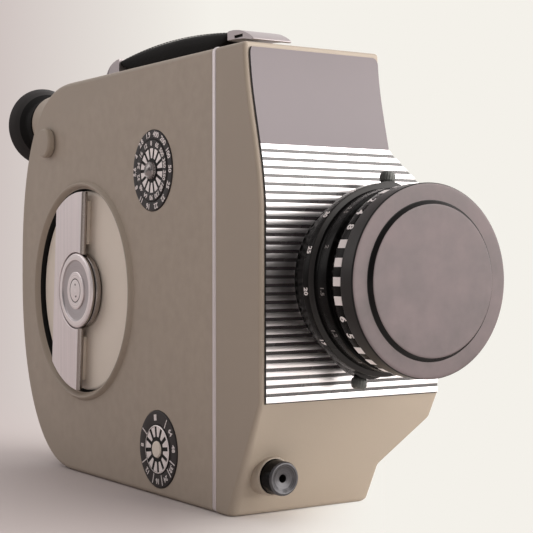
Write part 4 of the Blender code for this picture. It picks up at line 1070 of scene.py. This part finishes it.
def release_button():
    """Black button with a dished metal face, a bright rim and the cable hole."""
    start, end = low("start_button").y, high("start_button").y
    radius = radius_of("start_button")
    profile = [(0, end), (radius, end), (radius, start + 0.9, 1), (radius - 0.5, start + 0.1, 1),
               (radius - 1.1, start, 1), (radius - 1.5, start + 0.15, 1), (4.4, start + 1.15, 1),
               (2.4, start + 1.6, 1), (1.75, start + 1.75, 2), (1.7, start + 7, 2), (0, start + 7, 2)]
    turned("release_button", profile, "Y", BUTTON, [LENS_BLACK, BUTTON_FACE, DEEP_BLACK],
           "start_button", ["start_button"], "black", 96, 0.2)


# Lens: profiles run in radius and distance in front of the plate

def lens_piece(name, profile, looks, body, replaced, slot="black", **options):
    """Turned piece on the lens axis."""
    placed = [(point[0], PLATE_FACE - point[1], *point[2:]) for point in profile]
    return turned(name, placed, "Y", LENS, looks, body, replaced, slot, **options)


def teeth(count, depth, start, end, least, steps):
    """Ripple of knurled ribs between two distances ahead of the plate."""
    pitch = steps // count

    def ripple(radius, distance, turn):
        ahead = PLATE_FACE - distance
        if radius < least or not start < ahead < end:
            return 0.0
        return -depth if int(turn / math.tau * steps + 0.5) % pitch >= pitch // 2 else 0.0
    return ripple


def lens_barrel():
    """Mount ring on the plate, stepped barrel with its front rim, and the knurled aperture ring."""
    lens_piece("mount_ring", [(24, -8), (33.7, -8), (33.7, 2.6), (33.2, 3.0), (24, 3.0)], STEEL, "casing",
               ["lens_mount"], "steel", steps=128)
    profile = [(30.2, 3), (36, 3), (36, 4.4), (33.2, 4.4), (33.2, 42.2), (38.2, 42.2), (38.2, 49.8),
               (36.6, 49.8), (36.6, 46), (34.5, 46), (34.2, 44), (32.2, 44), (31.9, 42), (30.2, 42)]
    lens_piece("barrel", profile, LENS_BLACK, "casing", ["lens_tube"], steps=128)
    step = 240
    lens_piece("iris_grip", [(33.5, 4.8), (36.8, 4.8), (36.8, 8.0), (33.5, 8.0)], LENS_BLACK, "aperture_ring",
               ["aperture_ring"], steps=step, ripple=teeth(60, 0.35, 4.9, 7.9, 36.0, step), soften=0.15)


def zoom_ring():
    """Zoom ring with a broad flange that swells into a lug at each finger knob."""
    knob = math.radians(9.9)
    upper = Vector((math.sin(knob), 0, math.cos(knob)))

    def lug(radius, distance, turn):
        """Turn runs from the frame's own across direction, so compare real directions."""
        if radius < 37.5:
            return 0.0
        across, up, _ = axis_frame("Y")
        direction = across * math.cos(turn) + up * math.sin(turn)
        swell = 0.0
        for sign in (-1, 1):
            apart = math.degrees(direction.angle(upper * sign))
            swell = max(swell, math.exp(-(apart / 19.0) ** 2))
        ahead = PLATE_FACE - distance
        return swell * (5.0 if ahead < 16.6 else 0.3)

    profile = [(33.5, 8.4), (38, 8.4, 0), (38, 16.4, 1), (41.6, 16.9, 0), (41.6, 21.3, 1), (39.2, 21.9, 0),
               (39.2, 24.6, 0), (33.5, 24.6, 0)]
    lens_piece("zoom_grip", profile, [LENS_BLACK, LENS_GREY], "zoom_ring", ["zoom_ring"], steps=256,
               ripple=lug, soften=0.4)
    marks = Marks()
    lengths = (("17", -128), ("20", -96), ("25", -72), ("30", -48), ("40", -24), ("50", 24), ("69", 60),
               ("85", 120), ("17", 164), ("25", 196))
    for value, degrees in lengths:
        marks.number(value, 3.4, on_barrel(41.62, 19.1, math.radians(degrees)))
    marks.done("zoom_grip_numbers", WHITE_INK, "zoom_ring")
    for node, sign in (("zoom_knob_upper", 1), ("zoom_knob_lower", -1)):
        place = Vector((LENS.x, middle(node).y, LENS.z))
        profile = [(0, 38.4), (2.6, 38.4), (1.7, 41.2), (1.5, 42.2), (2.4, 42.8), (3.2, 43.5), (3.5, 44.4),
                   (3.5, 46.4), (3.0, 47.6), (2.0, 48.1), (0, 48.2)]

        def knurl(radius, distance, turn):
            return -0.16 if radius > 2.4 and distance > 42.8 and int(turn / math.tau * 72) % 4 >= 2 else 0.0

        turned(f"{node}_grip", profile, upper * sign, place, GUNMETAL, "zoom_ring", [node], "black", 72, 0.3,
               knurl, angle=50)


def focus_ring():
    """Focus ring: distance scale, knurled groove and a band of bright squares with numerals."""
    steps = 288
    profile = [(33.5, 25.0), (39.6, 25.0), (39.6, 31.0), (38, 31.4), (38, 36.0), (40, 36.4), (40, 41.9),
               (33.5, 41.9)]
    lens_piece("focus_grip", profile, LENS_BLACK, "focus_ring", ["focus_ring"], steps=steps,
               ripple=teeth(72, 0.3, 31.3, 36.1, 37.5, steps), soften=0.2)
    squares, numerals, scale = Marks(), Marks(), Marks()
    count = 32
    digits = {27: "8", 28: "4", 29: "2", 22: "6", 21: "5", 5: "3", 6: "9", 14: "7", 15: "1"}
    for number in range(count):
        turn = math.tau * number / count
        if number in digits:
            numerals.number(digits[number], 5.4, on_barrel(40.0, 39.1, turn))
        else:
            squares.stroke(3.7, 4.9, on_barrel(40.0, 39.1, turn), depth=0.16, steps=3)
    squares.done("focus_grip_squares", WHITE_INK, "focus_ring")
    numerals.done("focus_grip_numerals", WHITE_INK, "focus_ring")
    values = ("1", "1.2", "1.5", "2", "2.5", "3", "4", "5", "7", "10", "20", "50")
    for number, value in enumerate(values):
        scale.number(value, 3.3, on_barrel(39.6, 28.0, math.radians(-150 + 27 * number)))
    scale.done("focus_scale_numbers", DIM_INK, "focus_ring")


def lens_glass():
    """Front element with its retaining ring, and the sliding element behind it."""
    for name, node, body, radius, bulge in (("front_element", "front_lens", "focus_ring", 29.8, 2.6),
                                           ("sliding_element", "variator_lens", "variator", 28.0, 1.8)):
        rear, front = high(node).y, low(node).y
        dome = [(radius * i / 8, front + bulge * (i / 8) ** 2) for i in range(9)]
        hollow = [(radius * i / 8, rear - bulge * (i / 8) ** 2) for i in range(9)]
        profile = dome[:-1] + [(radius, dome[-1][1])] + [(radius, hollow[-1][1])] + hollow[:-1][::-1]
        turned(name, profile, "Y", LENS, GLASS, body, [node], "glass", 96, 0.0, angle=40)


def front_cap():
    """Push-on cap: dark skirt, black edge, satin rim and a raised middle with a wall around it painted
    near-black as shade.
    """
    ahead = PLATE_FACE - CAP_FACE
    rim = CAP_RADIUS
    skirt = PLATE_FACE - high("lens_cap").y
    # Look 3 is the wall around the raised middle, painted near-black as shade.
    profile = [(0, ahead - 2.6), (38.6, ahead - 2.6), (38.6, skirt), (rim - 0.2, skirt),
               (rim, skirt + 0.4), (rim, ahead - 3.0, 2), (rim, ahead - 2.5, 2), (rim - 0.35, ahead - 2.1, 1),
               (rim - 1.0, ahead - 1.95, 1), (rim - 1.9, ahead - 1.9, 1), (33.5, ahead - 1.95, 3),
               (33.2, ahead - 1.9, 3), (31.8, ahead - 0.1, 1), (31.3, ahead, 1),
               (24, ahead - 0.05, 1), (12, ahead - 0.02, 1), (0, ahead, 1)]
    lens_piece("front_cap", profile, [CAP_SIDE, CAP_SATIN, DEEP_BLACK, CAP_WALL_SHADE], "lens_cap",
               ["lens_cap"], steps=192, soften=0.22)


# Finder

def finder_pieces():
    """Eyepiece sleeve, turning cell with its lens, and the flared rubber cup, its outer flare painted lighter
    as light falling on it.
    """
    face = EYEPIECE_FACE
    profile = [(9.6, 100), (12.6, 100), (12.6, face + 1.0), (12.3, face + 1.2), (11.4, face + 1.2),
               (11.4, face - 14), (9.6, face - 14)]
    turned("eyepiece_sleeve", profile, "Y", EYEPIECE, LENS_BLACK, "casing", ["eyepiece_tube"], "black",
           96, 0.15)
    profile = [(0, face - 8), (8, face - 7.2), (11.1, face - 7.2), (11.1, face + 5, 0), (9.6, face + 5, 0),
               (9.3, face + 4.4), (9.1, face - 2.0), (8, face - 2.2, 1)]
    profile += [(8 * i / 6, face - 0.9 - 1.3 * (i / 6) ** 2, 1) for i in range(5, -1, -1)]
    turned("eyepiece_cell", profile, "Y", EYEPIECE, [LENS_BLACK, GLASS], "eyepiece", ["eyepiece_lens"],
           "black", 96, 0.15)
    start = low("eyecup").y
    end = high("eyecup").y
    # Look 1, the outer flare and lip, is the lighter rubber: painted light.
    profile = [(11.5, start), (15.0, start), (15.4, start + 0.5), (15.4, start + 5.6), (15.9, start + 6.8),
               (17.2, start + 8.0), (18.6, start + 9.0, 1), (20.4, start + 11.2, 1), (21.8, start + 13.6, 1),
               (22.5, start + 15.2, 1), (22.4, end - 0.4, 1), (21.6, end, 1), (20.8, end - 0.5),
               (19.4, start + 13.2), (17.2, start + 10.9), (13.6, start + 9.4), (12.0, start + 8.2),
               (11.5, start + 7.4)]
    turned("eyecup_rubber", profile, "Y", EYEPIECE, [RUBBER, RUBBER_LIT_FLARE], "eyepiece", ["eyecup"], "rubber",
           128, 0.5, angle=50)


# Carrying strap

STRAP_END_TOP = 221.2
STRAP_END_UNDER = 217.2
STRAP_CROWN = 3.6
STRAP_SAG = 6.4


def strap_section(y):
    """Height of the strap's underside and top at a place along it."""
    centre = (STRAP_LOW.y + STRAP_HIGH.y) / 2
    share = (y - centre) / (STRAP_HIGH.y - centre)
    top = STRAP_END_TOP + STRAP_CROWN * (1 - share * share)
    under = STRAP_END_UNDER - STRAP_SAG * (1 - share ** 4)
    return under, top


def carrying_strap():
    """Padded vinyl grip with a crowned top, a welt along each side and a stitched seam."""
    half = STRAP_HIGH.x
    loops = []
    stations = 60
    for i in range(stations + 1):
        y = STRAP_LOW.y + (STRAP_HIGH.y - STRAP_LOW.y) * i / stations
        under, top = strap_section(y)
        end = min(i, stations - i) / stations
        draw_in = 1.0 - 0.05 * max(0.0, 1 - end * 25) ** 2
        waist = 0.5 * math.sin(math.pi * i / stations)
        loop = []
        points = 40
        for j in range(points):
            angle = math.tau * j / points
            c, s = math.cos(angle), math.sin(angle)
            x = math.copysign(abs(c) ** 0.42, c) * (half - waist * (s < 0)) * draw_in
            middle_height = under + (top - under) * 0.58
            rise = (top - middle_height) if s > 0 else (middle_height - under)
            z = middle_height + math.copysign(abs(s) ** 0.55, s) * rise * draw_in
            welt = 0.28 * math.exp(-((z - middle_height) / 0.7) ** 2)
            if abs(c) > 0.6:
                x = x + math.copysign(welt, c) - math.copysign(0.3, c)
            loop.append((x, y, z))
        loops.append(loop)
    lofted("grip_strap", loops, VINYL, "casing", ["strap"], angle=60)
    stitches = Marks()
    count = 34
    for sign in (-1, 1):
        for i in range(count):
            y = STRAP_LOW.y + 4 + (STRAP_HIGH.y - STRAP_LOW.y - 8) * i / (count - 1)
            _, top = strap_section(y)
            slope = strap_section(y + 0.5)[1] - strap_section(y - 0.5)[1]
            place = stitch_place(sign * (half - 2.6), y, top - 0.18, slope)
            stitches.stroke(2.2, 0.45, place, depth=0.22, sink=0.12)
    stitches.done("strap_stitches", THREAD, "casing")


def stitch_place(x, y, z, slope):
    """Place a stitch along Y, tilted with the strap's top."""
    return lambda u, v, w: Vector((x + v, y + u, z + slope * u + w))


def strap_ends():
    """Plated end fittings bent from strip."""
    half = high("strap_bracket_front").x
    y = high("strap_bracket_front").y
    outline = [(y, 217), (y, 221.2), (y - 1.5, 221.5), (y - 5, 221.5), (y - 10, 220.9), (y - 14, 219.9),
               (y - 18, 218.3), (y - 20.6, 217), (y - 22.2, 215.9), (y - 22.6, 215.3), (y - 22, 214.9),
               (y - 20, 215.1), (y - 15.6, 216), (y - 8, 216.7)]
    made = extruded("strap_end_front", outline, -half, half, BRACKET_METAL)
    for side in (-half, half):
        combine(made, block("slot", (side - 1.2, y - 13.5, 217.4), (side + 1.2, y - 6.5, 218.6), DEEP_BLACK))
    add_soft_edges(made, 0.5, 30)
    register(made, "casing", ["strap_bracket_front"])
    y = low("strap_bracket_rear").y
    outline = [(y, 214.6), (y, 221.6), (y + 3, 221.3)] + arc((y + 2.6, 205.6), 15.4, 74, 12, 12)
    outline += [(y + 18.4, HEIGHT + 1.0), (y + 17, HEIGHT + 0.7), (y + 14.6, HEIGHT + 2.2), (y + 11.4, 213.4)]
    extruded("strap_end_rear", outline, -half, half, BRACKET_METAL, "casing", ["strap_bracket_rear"],
             bevel=0.4)


# Inside pieces that keep the frame's own shape

def dress_nodes():
    """Give every node that stays a finished material and softened edges."""
    looks = {"steel": STEEL, "brass": BRASS, "brushed": BRUSHED, "bright": CHROME, "black": FILM_BLACK,
             "mirror": MIRROR_STRIPE, "glass": SCREEN, "paint": PAINT, "rubber": RUBBER, "vinyl": VINYL,
             "enamel": DISC_ENAMEL}
    slots = {part["node"]: part["material_slot"] for part in frame["record"]["subparts"]}
    for name, node in frame["nodes"].items():
        look = BLUED if name == "mainspring" else looks[slots[name]]
        node.data.materials.clear()
        node.data.materials.append(look)
        if not node.hide_render:
            add_soft_edges(node, 0.12, 40)


def spools():
    """Daylight spools: thin flanges with a rolled rim, on a hollow core."""
    for node in ("take_up_spool", "supply_spool"):
        start, end = low(node).x, high(node).x
        radius = radius_of(node)
        profile = [(3.0, start), (radius - 0.8, start), (radius, start + 0.3), (radius, start + 1.0),
                   (radius - 1.2, start + 0.8), (17, start + 0.9), (16, start + 1.2), (16, end - 1.2),
                   (17, end - 0.9), (radius - 1.2, end - 0.8), (radius, end - 1.0), (radius, end - 0.3),
                   (radius - 0.8, end), (20, end), (19, end - 0.5), (11, end - 0.5), (10, end), (3.0, end)]
        turned(f"{node}_reel", profile, "X", middle(node), FILM_BLACK, node, [node], "black", 160, 0.12)


# Studio

CAMERA_PLACE = (-357.88, -599.34, 115.27)
CAMERA_YAW = math.radians(33.289)
CAMERA_PITCH = math.radians(0.463)
FOCAL_LENGTH = 93.9
SENSOR = 36.0
FLOOR_HEIGHT = -0.1


def camera():
    """Long lens, low and to the left in front."""
    data = bpy.data.cameras.new("camera")
    data.lens = FOCAL_LENGTH
    data.sensor_width = SENSOR
    data.clip_start = 0.01
    made = add_object("camera", data)
    level = math.cos(CAMERA_PITCH)
    forward = Vector((math.sin(CAMERA_YAW) * level, math.cos(CAMERA_YAW) * level, -math.sin(CAMERA_PITCH)))
    made.location = Vector(CAMERA_PLACE) * MM
    made.rotation_euler = forward.to_track_quat("-Z", "Y").to_euler()
    bpy.context.scene.camera = made


def light(name, place, target, size, power, colour):
    """Square lamp aimed at a target; lengths in metres, power in watts."""
    data = bpy.data.lights.new(name, "AREA")
    data.shape = "SQUARE"
    data.size = size
    data.energy = power
    data.color = colour
    made = add_object(name, data)
    made.location = place
    made.rotation_euler = (Vector(target) - Vector(place)).to_track_quat("-Z", "Y").to_euler()


# Backdrop seen by the camera: painted shade, darker towards the left.
BACKDROP_SHADE_RAMP = ((0.0, (0.62, 0.55, 0.53)), (0.40, (0.905, 0.880, 0.823)))
# Floor colour darker towards the left: painted shade.
FLOOR_SHADE_RAMP = ((0.30, (0.52, 0.465, 0.455)), (0.60, (0.84, 0.81, 0.78)))


def studio():
    """Pale floor, soft key from the right in front, and a backdrop painted with shade that darkens it to the
    left.
    """
    scene = bpy.context.scene
    scene.view_settings.view_transform = "Standard"
    scene.world = bpy.data.worlds.new("studio")
    graph = Graph(scene.world)
    backdrop = graph.ramp(graph.window()[0], *BACKDROP_SHADE_RAMP)
    room = graph.add("SeparateXYZ", Vector=graph.add("TexCoord").outputs["Generated"]).outputs["X"]
    side = graph.add("MapRange", Value=room, From_Min=-0.9, From_Max=0.7, To_Min=0.19, To_Max=1.0)
    daylight = graph.mixed((0, 0, 0), (1.27, 1.21, 1.19), side.outputs["Result"])
    seen = graph.add("LightPath").outputs["Is Camera Ray"]
    graph.put(graph.nodes["Background"].inputs["Color"], graph.mixed(daylight, backdrop, seen))
    light("key", (0.95, -1.15, 0.75), (0.0, 0.0, 0.1), 1.8, 35, (1.0, 0.97, 0.93))
    light("fill", (-0.75, 0.65, 0.6), (0.0, 0.06, 0.12), 0.7, 1.65, (1.0, 0.94, 0.93))
    shape = bmesh.new()
    bmesh.ops.create_grid(shape, x_segments=1, y_segments=1, size=4.0)
    floor = add_object("floor", mesh_from("floor", shape))
    floor.location.z = FLOOR_HEIGHT * MM
    floor.data.materials.append(floor_material())


def floor_material():
    """Matt pale floor, painted darker to the left as shade, that runs into the backdrop upwards and to the
    right, without a horizon.
    """
    made, graph, dress = new_material("floor")
    across, upward = graph.window()
    dress(Base_Color=graph.ramp(across, *FLOOR_SHADE_RAMP), Roughness=0.8)
    either = graph.maths("MAXIMUM", graph.fade(upward, 0.12, 0.30), graph.fade(across, 0.50, 0.72))
    factor = graph.maths("MULTIPLY", either, graph.add("LightPath").outputs["Is Camera Ray"])
    # For camera rays the floor glows with the backdrop colour: painted light, so that it runs into the
    # backdrop.
    painted_glow = graph.add("Emission", Color=graph.ramp(across, *BACKDROP_SHADE_RAMP))
    blend = graph.add("MixShader", Fac=factor)
    graph.put(blend.inputs[1], graph.nodes["Principled BSDF"].outputs["BSDF"])
    graph.put(blend.inputs[2], painted_glow.outputs["Emission"])
    graph.put(graph.nodes["Material Output"].inputs["Surface"], blend.outputs["Shader"])
    return made


for make in (rear_casting, front_casting, joint_band, door_cover):
    make()
for latch in ("door_latch_lower", "door_latch_upper"):
    latch_knob(latch)
for make in (striped_plate, small_casing_pieces, winding_side, exposure_dial, speed_dial, release_button,
             lens_barrel, zoom_ring, focus_ring, lens_glass, front_cap, finder_pieces, carrying_strap,
             strap_ends, spools, dress_nodes, camera, studio):
    make()
